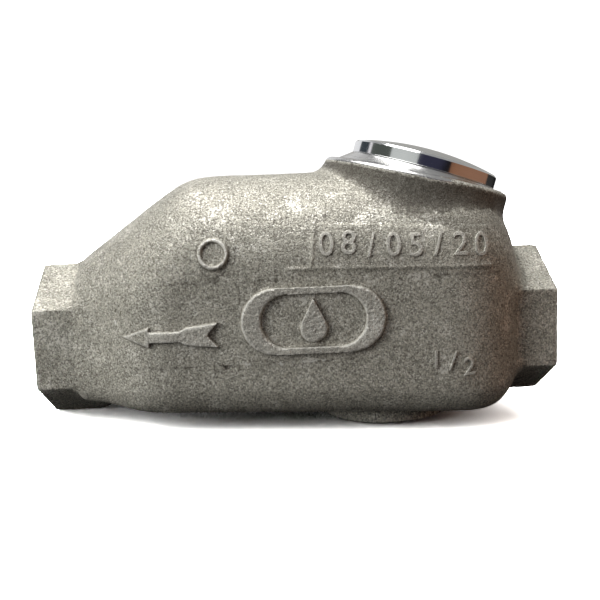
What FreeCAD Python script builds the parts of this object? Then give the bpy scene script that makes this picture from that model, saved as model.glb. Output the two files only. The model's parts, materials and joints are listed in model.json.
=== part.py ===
"""In-line lubricator for compressed-air tools: a hollow sand-cast iron body with a threaded port at
each end, a cast-in air tube with a venturi, an oil space around it, and a tilted filler neck.

Frame: millimetres. The origin is on the air bore's axis in the plane of the outlet face. +X runs along
the bore towards the inlet, against the flow. +Z is up, and the relief is on the -Y side.
"""
import FreeCAD, Part
import os
import re
import Sketcher
from FreeCAD import Placement, Rotation, Vector

doc = FreeCAD.newDocument("in_line_lubricator")

# Driving dimensions: name, value in millimetres or degrees, what it sets.
SIZES = (
    # The casting's outer form
    ("overall_length", 146.0, "face to face of the two ports"),
    ("hex_flats", 38.1, "across the flats of the port hexagons"),
    ("hex_edge_round", 0.9, "round on the cast hexagon edges"),
    ("outlet_hex_length", 11.5, "outlet face to the body"),
    ("inlet_hex_length", 8.2, "inlet face to the body's end"),
    ("hex_root", 6.0, "length of each hexagon buried in the body"),
    ("body_width", 62.0, "front to back"),
    ("body_top", 45.5, "bore axis to the flat top"),
    ("base_drop", 19.7, "bore axis to the underside at mid-length"),
    ("base_slope", 2.6, "fall of the underside towards the inlet"),
    ("crown_share", 0.8387, "round from the sides to the top, as a share of the half width"),
    ("base_share", 0.2903, "round from the sides to the underside, as a share of the half width"),
    ("shoulder_start", 22.8, "bore axis to the shoulder at the outlet hexagon"),
    ("shoulder_angle", 35.3, "rise of the shoulder"),
    ("shoulder_round", 22.0, "round from the shoulder to the top"),
    ("flare_run", 23.5, "length over which the sides flare out of the outlet hexagon"),
    ("flare_start", 19.3, "half width where the flare starts"),
    ("outlet_rise", 1.2, "extra rise of the underside at the outlet hexagon"),
    ("end_top_run", 40.0, "length of the round down to the inlet end"),
    ("end_side_run", 26.0, "length of the round of the sides at the inlet end"),
    ("end_base_run", 19.0, "length of the round of the underside at the inlet end"),
    ("end_side_fullness", 2.4, "power of the superellipse of the sides and underside"),
    ("end_top_fullness", 3.0, "power of the superellipse of the top"),
    ("foot_back", 47.0, "inlet face to the round foot"),
    ("foot_radius", 18.5, "round foot under the body"),
    ("foot_depth", 25.8, "bore axis to the foot's underside"),
    ("foot_edge_round", 0.9, "round on the foot's edge"),
    # The casting's inside
    ("wall", 5.0, "casting wall"),
    ("air_bore", 14.0, "bore of the air tube upstream of the venturi's stop"),
    ("outlet_bore", 12.4, "bore of the air tube downstream of the stop"),
    ("tube_wall", 4.0, "wall of the cast-in air tube"),
    ("port_bore", 18.26, "tap drill of each pipe thread"),
    ("port_depth", 18.0, "depth of each threaded port"),
    ("port_chamfer", 0.8, "chamfer at each port's mouth"),
    ("port_run_out", 2.0, "length of the cone from a port to the air tube"),
    ("core_hole", 28.0, "core hole in the foot"),
    ("core_ledge", 1.5, "ledge that the core plug seats on"),
    ("core_ledge_depth", 19.8, "bore axis to the ledge"),
    # The filler neck and its plug
    ("filler_back", 34.25, "inlet face to the centre of the plug's seat"),
    ("filler_sink", 0.75, "flat top to the centre of the plug's seat"),
    ("filler_tilt", 17.2, "lean of the filler towards the inlet"),
    ("neck_along", 27.1, "half the length of the oval cast neck"),
    ("neck_across", 24.8, "half the width of the oval cast neck"),
    ("neck_offset", 1.2, "cast neck's centre behind the plug's axis"),
    ("neck_lip_tilt", 3.2, "angle from the plug's seat to the cast top of the neck"),
    ("neck_lip_drop", 1.4, "seat to the cast top, at the plug's axis"),
    ("neck_edge_round", 1.8, "round on the cast edge of the neck"),
    ("land_radius", 21.5, "flat seat on top of the machined cone"),
    ("land_angle", 36.6, "slope of the machined cone"),
    ("land_inset", 0.9, "cast neck's side to the deepest the machined cone could reach"),
    ("filler_thread", 38.1, "nominal diameter of the filler thread"),
    ("filler_thread_depth", 13.0, "depth of the filler thread below the seat"),
    ("plug_rim_radius", 21.2, "filler plug's rim"),
    ("plug_rim_height", 3.2, "filler plug's rim up to its chamfer"),
    ("plug_chamfer", 0.55, "chamfer on the rim"),
    ("plug_dome_rise", 2.7, "rise of the domed top"),
    ("plug_reach", 12.0, "seat to the plug's lower end"),
    ("plug_hollow_radius", 13.0, "recess in the plug's underside"),
    ("plug_hollow_top", 3.2, "seat to the top of that recess"),
    ("plug_socket_flats", 10.0, "hexagon socket"),
    ("plug_socket_depth", 5.0, "depth of the socket below the dome's crown"),
    ("plug_ring_section", 2.6, "section of the filler plug's seal ring"),
    ("plug_ring_drop", 1.9, "seat to the middle of the seal ring"),
    # The metering valve in its boss on the air tube
    ("meter_back", 45.0, "inlet face to the metering valve"),
    ("meter_boss_radius", 7.5, "metering boss"),
    ("meter_thread", 8.0, "thread of the metering needle"),
    ("seat_drop", 2.7, "oil feed hole to the ledge under the needle seat"),
    ("seat_shank", 6.0, "shank of the needle seat"),
    ("seat_head", 1.2, "thickness of the needle seat's head"),
    ("seat_hole", 1.4, "oil hole through the needle seat"),
    ("seat_mouth", 4.0, "mouth of the seat's cone"),
    ("needle_gap", 0.04, "gap between needle and seat when closed"),
    ("needle_stem", 3.2, "stem of the needle below its thread"),
    ("needle_thread_rise", 1.2, "oil feed hole to the lower end of the needle's thread"),
    ("needle_thread_depth", 1.4, "top of the metering boss to the upper end of the needle's thread"),
    ("needle_neck", 5.2, "neck of the needle above its thread"),
    ("needle_head", 12.0, "head of the needle"),
    ("needle_head_height", 3.0, "height of the needle's head"),
    ("needle_spring_height", 4.2, "lock spring under the needle's head"),
    ("needle_slot", 1.4, "width of the screwdriver slot"),
    ("needle_slot_depth", 1.6, "depth of the screwdriver slot"),
    ("needle_ring_section", 1.4, "section of the needle's seal ring"),
    ("needle_ring_rise", 2.8, "oil feed hole to the middle of the seal ring"),
    ("lock_spring_mean", 10.0, "mean diameter of the lock spring"),
    ("lock_spring_wire", 0.9, "wire of the lock spring"),
    ("lock_spring_turns", 2.6, "turns of the lock spring"),
    # The oil pick-up
    ("feed_height", 17.2, "bore axis to the oil feed hole"),
    ("feed_hole", 2.6, "oil feed hole into the metering boss"),
    ("lug_radius", 4.6, "cast lug beside the metering boss"),
    ("lug_share", 0.5476, "metering axis to the lug's end, as a share of the pick-up's reach"),
    ("lug_cover", 2.2, "top of the lug to the top of the metering boss"),
    ("gland_thread", 6.4, "thread of the gland nut"),
    ("gland_depth", 3.0, "depth of the gland's thread in the lug"),
    ("gland_flats", 8.5, "across the flats of the gland nut"),
    ("gland_head", 3.0, "height of the gland nut's hexagon"),
    ("ferrule_length", 1.2, "compression ferrule"),
    ("pickup_outside", 4.0, "pick-up tube"),
    ("pickup_wall", 0.6, "wall of the pick-up tube"),
    ("pickup_clearance", 5.0, "oil space's side to the middle of the tube's vertical leg"),
    ("bend_share", 0.2381, "radius of the tube's bend, as a share of its reach"),
    ("pickup_end", 9.0, "bore axis to the tube's lower end"),
    ("strainer_outside", 6.4, "pick-up strainer"),
    ("strainer_length", 8.0, "length of the strainer"),
    ("strainer_socket", 4.0, "depth of the tube in the strainer"),
    ("strainer_floor", 1.0, "thickness of the strainer's closed end"),
    ("strainer_hole", 1.8, "holes in the strainer's side"),
    # The venturi
    ("venturi_tail_length", 13.0, "metering valve to the venturi's stop"),
    ("venturi_length", 26.0, "length of the venturi insert"),
    ("throat_bore", 6.4, "venturi throat"),
    ("throat_length", 4.0, "length of the throat"),
    ("venturi_mouth", 11.0, "upstream mouth of the venturi"),
    ("venturi_tail", 10.8, "downstream end of the venturi"),
    ("oil_groove_width", 4.4, "oil groove round the throat"),
    ("oil_groove_depth", 1.2, "depth of the oil groove"),
    ("oil_jet", 1.6, "jets from the groove into the throat"),
    ("venturi_ring_section", 1.44, "section of the venturi's seal rings"),
    ("venturi_ring_inset", 4.4, "each end of the venturi to the middle of its seal groove"),
    ("clip_thickness", 1.0, "retaining ring"),
    ("clip_groove_depth", 0.6, "depth of the retaining ring's groove"),
    ("clip_inside", 12.6, "inside of the retaining ring"),
    ("clip_gap_angle", 40.0, "opening of the retaining ring"),
    # The check valve that lets line pressure into the oil space
    ("check_back", 26.5, "inlet face to the check valve"),
    ("check_boss_radius", 6.5, "check valve boss"),
    ("check_boss_top", 20.0, "bore axis to the top of the boss"),
    ("check_thread", 9.0, "thread of the check valve's seat and cage"),
    ("check_ledge", 11.5, "bore axis to the ledge under the seat"),
    ("check_seat_height", 3.4, "height of the seat"),
    ("check_hole", 2.8, "air hole through the seat"),
    ("check_mouth", 4.8, "mouth of the seat's cone"),
    ("check_ball_radius", 2.5, "check ball"),
    ("cage_bore", 5.6, "bore that guides the ball"),
    ("cage_top", 24.0, "bore axis to the top of the cage"),
    ("cage_roof", 1.6, "thickness of the cage's roof"),
    ("cage_flats", 10.0, "across the flats of the cage's hexagon"),
    ("cage_vent", 2.0, "vent through the cage's roof"),
    ("check_spring_mean", 3.6, "mean diameter of the check spring"),
    ("check_spring_wire", 0.5, "wire of the check spring"),
    ("check_spring_turns", 3.5, "turns of the check spring"),
    # The core plug
    ("core_plug_height", 5.0, "height of the pressed cup"),
    ("core_plug_wall", 1.6, "sheet of the pressed cup"),
    # Fits
    ("thread_gap", 0.05, "gap at a thread, on the radius"),
    ("slide_gap", 0.03, "gap at a sliding fit, on the radius"),
    ("rest_gap", 0.03, "gap under what only rests"),
    ("ring_play", 0.23, "room on each side of a seal ring in its groove"),
    ("overcut", 1.0, "how far a cutting shape runs past what it opens"),
    # The relief on the front
    ("relief", 0.9, "height of the raised marks"),
    ("arrow_tip_x", 26.0, "outlet face to the flow arrow's tip"),
    ("arrow_z", 4.4, "bore axis to the flow arrow"),
    ("arrow_length", 25.3, "flow arrow"),
    ("arrow_head_length", 7.2, "head of the flow arrow"),
    ("arrow_head_height", 5.4, "height of the arrow's head"),
    ("arrow_shaft_height", 2.8, "height of the arrow's shaft"),
    ("arrow_tail_length", 10.0, "flared tail of the arrow"),
    ("arrow_tail_height", 6.6, "height of the flared tail's end"),
    ("arrow_tail_waist", 4.8, "height of the flared tail's front"),
    ("arrow_tail_step", 1.8, "length of the step up to the flared tail"),
    ("arrow_notch", 3.0, "notch in the tail"),
    ("badge_x", 76.3, "outlet face to the middle of the oval frame"),
    ("badge_z", 7.2, "bore axis to the middle of the oval frame"),
    ("badge_length", 38.0, "oval frame"),
    ("badge_height", 17.6, "height of the oval frame"),
    ("badge_band", 1.7, "band of the oval frame"),
    ("drop_height", 11.6, "oil drop in the frame"),
    ("drop_radius", 3.6, "round of the oil drop"),
    ("mark_x", 50.8, "outlet face to the foundry ring"),
    ("mark_z", 25.5, "bore axis to the foundry ring"),
    ("mark_radius", 4.0, "foundry ring"),
    ("mark_band", 1.0, "band of the foundry ring"),
    # Places and sizes that follow from those above
    ("filler_x", "=overall_length - filler_back", "outlet face to the centre of the plug's seat"),
    ("foot_x", "=overall_length - foot_back", "outlet face to the round foot"),
    ("meter_x", "=overall_length - meter_back", "outlet face to the metering valve"),
    ("check_x", "=overall_length - check_back", "outlet face to the check valve"),
    ("venturi_start", "=meter_x - venturi_tail_length", "outlet face to the venturi's stop"),
    ("half_width", "=body_width/2", "middle to the front"),
    ("filler_z", "=body_top - filler_sink", "bore axis to the centre of the plug's seat"),
    ("neck_reach", "=filler_z/2", "seat to the buried end of the neck"),
    ("seat_ledge", "=feed_height - seat_drop", "bore axis to the ledge under the needle seat"),
    ("needle_thread_start", "=feed_height + needle_thread_rise", "bore axis to the needle's thread"),
    ("needle_ring_height", "=feed_height + needle_ring_rise", "bore axis to the middle of the seal ring"),
    ("meter_boss_top", "=feed_height + lug_radius + lug_cover", "bore axis to the top of the metering boss"),
    ("needle_thread_end", "=meter_boss_top - needle_thread_depth", "bore axis to the thread's upper end"),
    ("pickup_reach", "=half_width - wall - pickup_clearance", "metering axis to the pick-up tube"),
    ("pickup_bend", "=pickup_reach*bend_share", "radius of the tube's bend"),
    ("lug_reach", "=pickup_reach*lug_share", "metering axis to the lug's end"),
)
NAMES = {name for name, value, note in SIZES}

# A sketch's numbers for an edge's ends and middle, and for its own origin
START, END, CENTRE = range(1, 4)
SKETCH_ORIGIN = (-1, START)
# How near two places are that count as one
NEAR = 0.01

sheet = doc.addObject("Spreadsheet::Sheet", "Sizes")
for row, (name, value, note) in enumerate(SIZES, start=1):
    sheet.set(f"A{row}", name)
    sheet.set(f"B{row}", str(value))
    sheet.setAlias(f"B{row}", name)
    sheet.set(f"C{row}", note)
doc.recompute()


def linked(formula):
    """The formula with each size's name turned into a reference to its cell."""

    def reference(word):
        return f"Sizes.{word[0]}" if word[0] in NAMES else word[0]

    return re.sub(r"[a-z][a-z_0-9]*", reference, str(formula))


def bind(item, prop, formula):
    """Ties one property of an object to a formula in the sizes."""
    item.setExpression(prop, linked(formula))


def amount(formula):
    """What a formula comes to now, for a sketch's first shape."""
    return float(sheet.evalExpression(linked(formula)))


def place(item, x="0", y="0", z="0", axis=Vector(0, 0, 1), angle="0"):
    """Ties an object's placement to formulas."""
    item.Placement = Placement(Vector(0, 0, 0), Rotation(axis, 1))
    bind(item, "Placement.Rotation.Angle", angle)
    for letter, formula in zip("xyz", (x, y, z)):
        bind(item, f"Placement.Base.{letter}", formula)
    return item


def place_on_filler(item, across="0", up="0"):
    """Stands an object on the filler's tilted axis, across and up from the middle of the plug's seat."""
    return place(
        item,
        x=f"filler_x + ({across})*cos(filler_tilt) + ({up})*sin(filler_tilt)",
        z=f"filler_z - ({across})*sin(filler_tilt) + ({up})*cos(filler_tilt)",
        axis=Vector(0, 1, 0),
        angle="filler_tilt",
    )


def hold(sketch, formula, kind, *what):
    """Adds a constraint to a sketch and ties its value to a formula."""
    number = sketch.addConstraint(Sketcher.Constraint(kind, *what, amount(formula)))
    bind(sketch, f"Constraints[{number}]", formula)


def draw(sketch, corners, closed=True):
    """Draws an outline or a path. A corner is (x, y), or (x, y, radius, turn) where an arc leads to it.

    turn is 1 for an arc that turns left on its way, and -1 for one that turns right.
    """
    points = [Vector(amount(c[0]), amount(c[1]), 0) for c in corners]
    starts, ends = {}, {}
    for i, corner in enumerate(corners):
        if i == 0 and not closed:
            continue
        start, end = points[i - 1], points[i]
        if len(corner) == 2:
            edge = sketch.addGeometry(Part.LineSegment(start, end))
            first, last = START, END
        else:
            radius, turn = amount(corner[2]), corner[3]
            chord = end - start
            rise = max(radius**2 - (chord.Length / 2) ** 2, 0) ** 0.5
            side = Vector(-chord.y, chord.x, 0).normalize() * turn
            centre = (start + end) / 2 + side * rise
            middle = centre - side * radius
            first, last = (START, END)[::turn]
            edge = sketch.addGeometry(Part.Arc(*(start, middle, end)[::turn]))
            hold(sketch, corner[2], "Radius", edge)
        starts[i] = (edge, first)
        ends[i] = (edge, last)
    for i, corner in enumerate(corners):
        meeting = [side[j] for side, j in ((ends, i), (starts, (i + 1) % len(corners))) if j in side]
        if len(meeting) == 2:
            sketch.addConstraint(Sketcher.Constraint("Coincident", *meeting[0], *meeting[1]))
        hold(sketch, corner[0], "DistanceX", *SKETCH_ORIGIN, *meeting[0])
        hold(sketch, corner[1], "DistanceY", *SKETCH_ORIGIN, *meeting[0])
    return sketch


def circle(sketch, x, y, radius):
    """Draws a circle whose centre and radius are formulas."""
    centre = Vector(amount(x), amount(y), 0)
    ring = sketch.addGeometry(Part.Circle(centre, Vector(0, 0, 1), amount(radius)))
    hold(sketch, radius, "Radius", ring)
    hold(sketch, x, "DistanceX", *SKETCH_ORIGIN, ring, CENTRE)
    hold(sketch, y, "DistanceY", *SKETCH_ORIGIN, ring, CENTRE)
    return sketch


def polygon(x, y, across_flats, sides, first=0):
    """The corners of a regular polygon as formulas, first being the angle of the first corner."""
    return [
        (
            f"({x}) + ({across_flats})/2/cos({180 / sides})*cos({first + i * 360 / sides})",
            f"({y}) + ({across_flats})/2/cos({180 / sides})*sin({first + i * 360 / sides})",
        )
        for i in range(sides)
    ]


def body_plane(body, role):
    """One of a body's own origin planes."""
    return next(plane for plane in body.Origin.OriginFeatures if plane.Role == role)


def body_sketch(body, name, role="XZ_Plane", raised="0"):
    """A sketch on one of a body's origin planes, or raised from it."""
    sketch = body.newObject("Sketcher::SketchObject", name)
    sketch.AttachmentSupport = [(body_plane(body, role), "")]
    sketch.MapMode = "FlatFace"
    bind(sketch, "AttachmentOffset.Base.z", raised)
    return sketch


def new_body(label):
    """An empty body for one piece."""
    body = doc.addObject("PartDesign::Body", label)
    body.Label = label
    return body


def turned(label, corners, axis="V_Axis", angle="360"):
    """A body turned from an outline about its upright or its level axis."""
    body = new_body(label)
    sketch = draw(body_sketch(body, f"{label}_section"), corners)
    feature = body.newObject("PartDesign::Revolution", f"{label}_turned")
    feature.Profile = sketch
    feature.ReferenceAxis = (sketch, [axis])
    bind(feature, "Angle", angle)
    return body


def pocket(body, sketch, name, depth=None, upwards=False, midplane=False):
    """Cuts a sketch's shape out of a body, to a depth or right through."""
    feature = body.newObject("PartDesign::Pocket", name)
    feature.Profile = sketch
    feature.Reversed = upwards
    feature.Midplane = midplane
    if depth is None:
        feature.Type = "ThroughAll"
    else:
        bind(feature, "Length", depth)
    return feature


def cylinder(name, radius, height):
    """A cylinder with its foot at its own origin."""
    item = doc.addObject("Part::Cylinder", name)
    bind(item, "Radius", radius)
    bind(item, "Height", height)
    return item


def hexagon(name, flats, height):
    """A hexagonal prism with its foot at its own origin and a ridge towards its own +X."""
    item = doc.addObject("Part::Prism", name)
    item.Polygon = 6
    bind(item, "Circumradius", f"({flats})/sqrt(3)")
    bind(item, "Height", height)
    return item


def seal_ring(label, outside, section):
    """A ring of round section, lying flat, that reaches out to a radius."""
    item = doc.addObject("Part::Torus", label)
    bind(item, "Radius1", f"({outside}) - ({section})/2")
    bind(item, "Radius2", f"({section})/2")
    return item


WIRE_SIDES = 8


def spring(label, mean, wire, turns, height):
    """A coil spring for a gap of the given height, its round wire drawn as a prism.

    It starts at its own origin with its wire's middle.
    """
    path = doc.addObject("Part::Helix", f"{label}_path")
    bind(path, "Radius", f"{mean}/2")
    bind(path, "Height", f"{height} - {wire} - 2*rest_gap")
    bind(path, "Pitch", f"({height} - {wire} - 2*rest_gap)/{turns}")
    section = doc.addObject("Part::RegularPolygon", f"{label}_wire")
    section.Polygon = WIRE_SIDES
    bind(section, "Circumradius", f"{wire}/2")
    section.Placement = Placement(Vector(0, 0, 0), Rotation(Vector(1, 0, 0), 90))
    bind(section, "Placement.Base.x", f"{mean}/2")
    doc.recompute()
    item = doc.addObject("Part::Sweep", label)
    item.Sections = [section]
    item.Spine = (path, [f"Edge{i}" for i in range(1, len(path.Shape.Edges) + 1)])
    item.Solid = True
    item.Frenet = True
    return item


def flat_sketch(name):
    """A sketch on the front view's plane: its x is +X and its y is +Z."""
    sketch = doc.addObject("Sketcher::SketchObject", name)
    sketch.Placement = Placement(Vector(0, 0, 0), Rotation(Vector(1, 0, 0), 90))
    return sketch


def revolved(name, corners, axis=Vector(0, 0, 1)):
    """A solid turned from an outline in the front view's plane, in its own frame."""
    item = doc.addObject("Part::Revolution", name)
    item.Source = draw(flat_sketch(f"{name}_section"), corners)
    item.Axis = axis
    item.Angle = 360
    item.Solid = True
    return item


def fuse(name, items):
    """One solid from several."""
    item = doc.addObject("Part::MultiFuse", name)
    item.Shapes = items
    return item


def cut(name, base, tool):
    """The base without the tool."""
    item = doc.addObject("Part::Cut", name)
    item.Base = base
    item.Tool = tool
    return item


def common(name, first, second):
    """What two solids share."""
    item = doc.addObject("Part::Common", name)
    item.Base = first
    item.Tool = second
    return item


def rounded(name, base, radius, chosen):
    """The base with a round on each edge that chosen picks."""
    doc.recompute()
    item = doc.addObject("Part::Fillet", name)
    item.Base = base
    size = amount(radius)
    item.Edges = [(i, size, size) for i, edge in enumerate(base.Shape.Edges, start=1) if chosen(edge)]
    return item


# The lofted form of the body

BODY_END = "(overall_length - inlet_hex_length)"
SHOULDER_TURN_X = "(outlet_hex_length + (body_top - shoulder_start)/tan(shoulder_angle))"
TOP_START = f"({SHOULDER_TURN_X} + shoulder_round*tan(shoulder_angle/2))"
FLARE_STATIONS = (0.0, 0.25, 0.5, 0.75, 1.0)
CAVITY_FLARE_STATIONS = (0.4, 0.6, 0.8, 1.0)
SHOULDER_ROUND_SHARES = (0.45, 0.0)
FLAT_STATIONS = (0.2, 0.5, 0.8)
END_STATIONS = (1.0, 0.75, 0.55, 0.375, 0.24, 0.14, 0.075, 0.04, 0.025)
NEAR_THE_END = 0.5
CAVITY_END_STATIONS = (1.0, 0.78, 0.6, 0.44, 0.31, 0.22, 0.17)


def end_curve(x, reach, run, fullness, grow):
    """A superellipse that closes the body at its inlet end, grown or shrunk by an offset."""
    start = f"({BODY_END} - {run})"
    share = f"max(0; (({x}) - {start})/({run} + {grow}))"
    return f"(({reach}) + {grow})*(1 - {share}^{fullness})^(1/{fullness})"


def underside(x):
    """Depth of the sloping underside below the bore axis."""
    return f"base_drop + (({x}) - overall_length/2)*tan(base_slope)"


def width_at(x, grow):
    """Half width of the body past the flare."""
    return end_curve(x, "half_width", "end_side_run", "end_side_fullness", grow)


def section(name, x, width, top, bottom, grow):
    """One cross-section of the body: an arch with small rounds at its foot."""
    sketch = doc.addObject("Sketcher::SketchObject", name)
    sketch.Placement = Placement(Vector(0, 0, 0), Rotation(0.5, 0.5, 0.5, 0.5))
    bind(sketch, "Placement.Base.x", x)
    crown = f"(crown_share*({width}))"
    foot = f"max(1; base_share*({width}) + min(0; {grow}))"
    draw(
        sketch,
        [
            (f"({width}) - {foot}", bottom),
            (width, f"({bottom}) + {foot}", foot, 1),
            (width, f"({top}) - {crown}"),
            (f"({width}) - {crown}", top, crown, 1),
            (f"-({width}) + {crown}", top),
            (f"-({width})", f"({top}) - {crown}", crown, 1),
            (f"-({width})", f"({bottom}) + {foot}"),
            (f"-({width}) + {foot}", bottom, foot, 1),
        ],
    )
    return sketch


def body_form(name, grow, flare_stations, end_stations):
    """The body's form as a loft, grown or shrunk by an offset."""
    sections = []
    for share in flare_stations:
        x = f"(outlet_hex_length + {share}*flare_run)"
        blend = f"(1 - cos({180 * share}))/2"
        width = f"flare_start + (half_width - flare_start)*{blend} + {grow}"
        top = f"shoulder_start + {share}*flare_run*tan(shoulder_angle) + ({grow})/cos(shoulder_angle)"
        bottom = f"-({underside(x)} - outlet_rise*(1 - {blend}) + {grow})"
        sections.append(section(f"{name}_flare_{round(100 * share)}", x, width, top, bottom, grow))
    for share in SHOULDER_ROUND_SHARES:
        back = f"(shoulder_round*sin({share}*shoulder_angle))"
        x = f"({TOP_START} - {back})"
        top = f"body_top - shoulder_round + sqrt((shoulder_round + {grow})^2 - {back}^2)"
        bottom = f"-({underside(x)} + {grow})"
        width = f"half_width + {grow}"
        sections.append(section(f"{name}_top_{round(100 * share)}", x, width, top, bottom, grow))
    for share in FLAT_STATIONS:
        x = f"({TOP_START} + {share}*({BODY_END} - end_top_run - {TOP_START}))"
        bottom = f"-({underside(x)} + {grow})"
        width = f"half_width + {grow}"
        top = f"body_top + {grow}"
        sections.append(section(f"{name}_flat_{round(100 * share)}", x, width, top, bottom, grow))
    for share in end_stations:
        end = f"{BODY_END} + min(0; {grow})" if share < NEAR_THE_END else BODY_END
        x = f"({end} - {share}*end_top_run)"
        top = end_curve(x, "body_top", "end_top_run", "end_top_fullness", grow)
        bottom = "-" + end_curve(x, underside(x), "end_base_run", "end_side_fullness", grow)
        sections.append(section(f"{name}_end_{round(1000 * share)}", x, width_at(x, grow), top, bottom, grow))
    loft = doc.addObject("Part::Loft", name)
    loft.Sections = sections
    loft.Solid = True
    loft.Ruled = False
    return loft


# The casting

outer_form = body_form("outer_form", "0", FLARE_STATIONS, END_STATIONS)
cavity_form = body_form("cavity_form", "-wall", CAVITY_FLARE_STATIONS, CAVITY_END_STATIONS)
relief_form = body_form("relief_form", "relief", FLARE_STATIONS, END_STATIONS)


def hexagon_end(name, start, length, outer_face_low):
    """A cast port hexagon with a ridge up, its long edges and its outer face's edges rounded."""
    prism = hexagon(f"{name}_prism", "hex_flats", length)
    prism.Placement = Placement(Vector(0, 0, 0), Rotation(Vector(0, 1, 0), 90))
    bind(prism, "Placement.Base.x", start)
    doc.recompute()
    bound = prism.Shape.BoundBox
    face = bound.XMin if outer_face_low else bound.XMax

    def chosen(edge):
        low, high = edge.BoundBox.XMin, edge.BoundBox.XMax
        return high - low > bound.XLength / 2 or abs(low - face) + abs(high - face) < NEAR

    return rounded(name, prism, "hex_edge_round", chosen)


outlet_hex = hexagon_end("outlet_hex", "0", "outlet_hex_length + hex_root", True)
inlet_hex = hexagon_end("inlet_hex", f"{BODY_END} - hex_root", "inlet_hex_length + hex_root", False)

# The neck leans with the plug; its cast top leans a little less, so the machined cone shows on one side


def oval(name, inset, height, up):
    """An oval prism along the filler's axis, inset from the cast neck's side."""
    outline = doc.addObject("Part::Ellipse", f"{name}_outline")
    bind(outline, "MajorRadius", f"neck_along - {inset}")
    bind(outline, "MinorRadius", f"neck_across - {inset}")
    item = doc.addObject("Part::Extrusion", name)
    item.Base = outline
    item.DirMode = "Custom"
    item.Dir = Vector(0, 0, 1)
    bind(item, "LengthFwd", height)
    item.Solid = True
    return place_on_filler(item, "-neck_offset", up)


blank_height = "neck_reach + neck_along*tan(neck_lip_tilt) + neck_edge_round"
neck_blank = oval("neck_blank", "0", blank_height, "-neck_reach")
neck_sky = doc.addObject("Part::Box", "neck_sky")
for side in ("Length", "Width"):
    bind(neck_sky, side, "4*neck_along")
bind(neck_sky, "Height", "neck_along")
place(
    neck_sky,
    x="filler_x - neck_lip_drop*sin(filler_tilt) - 2*neck_along*cos(filler_tilt - neck_lip_tilt)",
    y="-2*neck_along",
    z="filler_z - neck_lip_drop*cos(filler_tilt) + 2*neck_along*sin(filler_tilt - neck_lip_tilt)",
    axis=Vector(0, 1, 0),
    angle="filler_tilt - neck_lip_tilt",
)
neck_cast = cut("neck_cast", neck_blank, neck_sky)
doc.recompute()
neck_cast_top = max(neck_cast.Shape.Faces, key=lambda face: face.CenterOfMass.z)
neck = rounded(
    "neck",
    neck_cast,
    "neck_edge_round",
    lambda edge: any(edge.isSame(rim) for rim in neck_cast_top.Edges),
)
land_reach = "(neck_along + neck_offset)"
machined_cone = place_on_filler(
    revolved(
        "machined_cone",
        [
            ("0", "0"),
            ("0", "-neck_reach/2"),
            (land_reach, "-neck_reach/2"),
            (land_reach, f"-({land_reach} - land_radius)*tan(land_angle)"),
            ("land_radius", "0"),
        ],
    )
)
land_bound = oval("land_bound", "land_inset", "neck_reach", "-neck_reach/2")
neck_land = common("neck_land", machined_cone, land_bound)

foot_blank = cylinder("foot_blank", "foot_radius", "foot_depth - base_drop + wall/2")
place(foot_blank, x="foot_x", z="-foot_depth")
foot = rounded(
    "foot",
    foot_blank,
    "foot_edge_round",
    lambda edge: edge.BoundBox.ZMax < foot_blank.Shape.BoundBox.ZMin + NEAR,
)


def raised(name):
    """The sketch of a raised mark on the front, and the solid that stands it off the casting's side."""
    sketch = flat_sketch(f"{name}_outline")
    item = doc.addObject("Part::Extrusion", name)
    item.Base = sketch
    item.DirMode = "Normal"
    bind(item, "LengthFwd", "body_width")
    item.Solid = True
    return sketch, item


def stadium(sketch, x, z, length, height):
    """A level slot shape with round ends, each end in two quarter arcs."""
    reach = f"({length} - {height})/2"
    radius = f"({height})/2"
    draw(
        sketch,
        [
            (f"{x} + {reach}", f"{z} - {radius}"),
            (f"{x} + {reach} + {radius}", z, radius, 1),
            (f"{x} + {reach}", f"{z} + {radius}", radius, 1),
            (f"{x} - {reach}", f"{z} + {radius}"),
            (f"{x} - {reach} - {radius}", z, radius, 1),
            (f"{x} - {reach}", f"{z} - {radius}", radius, 1),
        ],
    )


# The flow arrow points at the outlet
arrow_outline, arrow = raised("arrow")
neck_x = "arrow_tip_x + arrow_head_length"
tail_x = "arrow_tip_x + arrow_length - arrow_tail_length"
lower = [
    (neck_x, "arrow_head_height"),
    (neck_x, "arrow_shaft_height"),
    (tail_x, "arrow_shaft_height"),
    (f"{tail_x} + arrow_tail_step", "arrow_tail_waist"),
    ("arrow_tip_x + arrow_length", "arrow_tail_height"),
]
draw(
    arrow_outline,
    [("arrow_tip_x", "arrow_z")]
    + [(x, f"arrow_z - {height}/2") for x, height in lower]
    + [("arrow_tip_x + arrow_length - arrow_notch", "arrow_z")]
    + [(x, f"arrow_z + {height}/2") for x, height in reversed(lower)],
)

# The badge is an oval frame round an oil drop
badge_outline, badge = raised("badge")
stadium(badge_outline, "badge_x", "badge_z", "badge_length", "badge_height")
stadium(badge_outline, "badge_x", "badge_z", "badge_length - 2*badge_band", "badge_height - 2*badge_band")
drop_outline, drop = raised("drop")
drop_middle = "(badge_z - drop_height/2 + drop_radius)"
drop_side = "drop_radius*sqrt(1 - (drop_radius/(drop_height - drop_radius))^2)"
drop_shoulder = f"{drop_middle} + drop_radius^2/(drop_height - drop_radius)"
draw(
    drop_outline,
    [
        ("badge_x", f"{drop_middle} - drop_radius + drop_height"),
        (f"badge_x - {drop_side}", drop_shoulder),
        ("badge_x", f"{drop_middle} - drop_radius", "drop_radius", 1),
        (f"badge_x + {drop_side}", drop_shoulder, "drop_radius", 1),
    ],
)
mark_outline, mark = raised("mark")
circle(mark_outline, "mark_x", "mark_z", "mark_radius")
circle(mark_outline, "mark_x", "mark_z", "mark_radius - mark_band")
marks = common("marks", relief_form, fuse("mark_prisms", [arrow, badge, drop, mark]))

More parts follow.
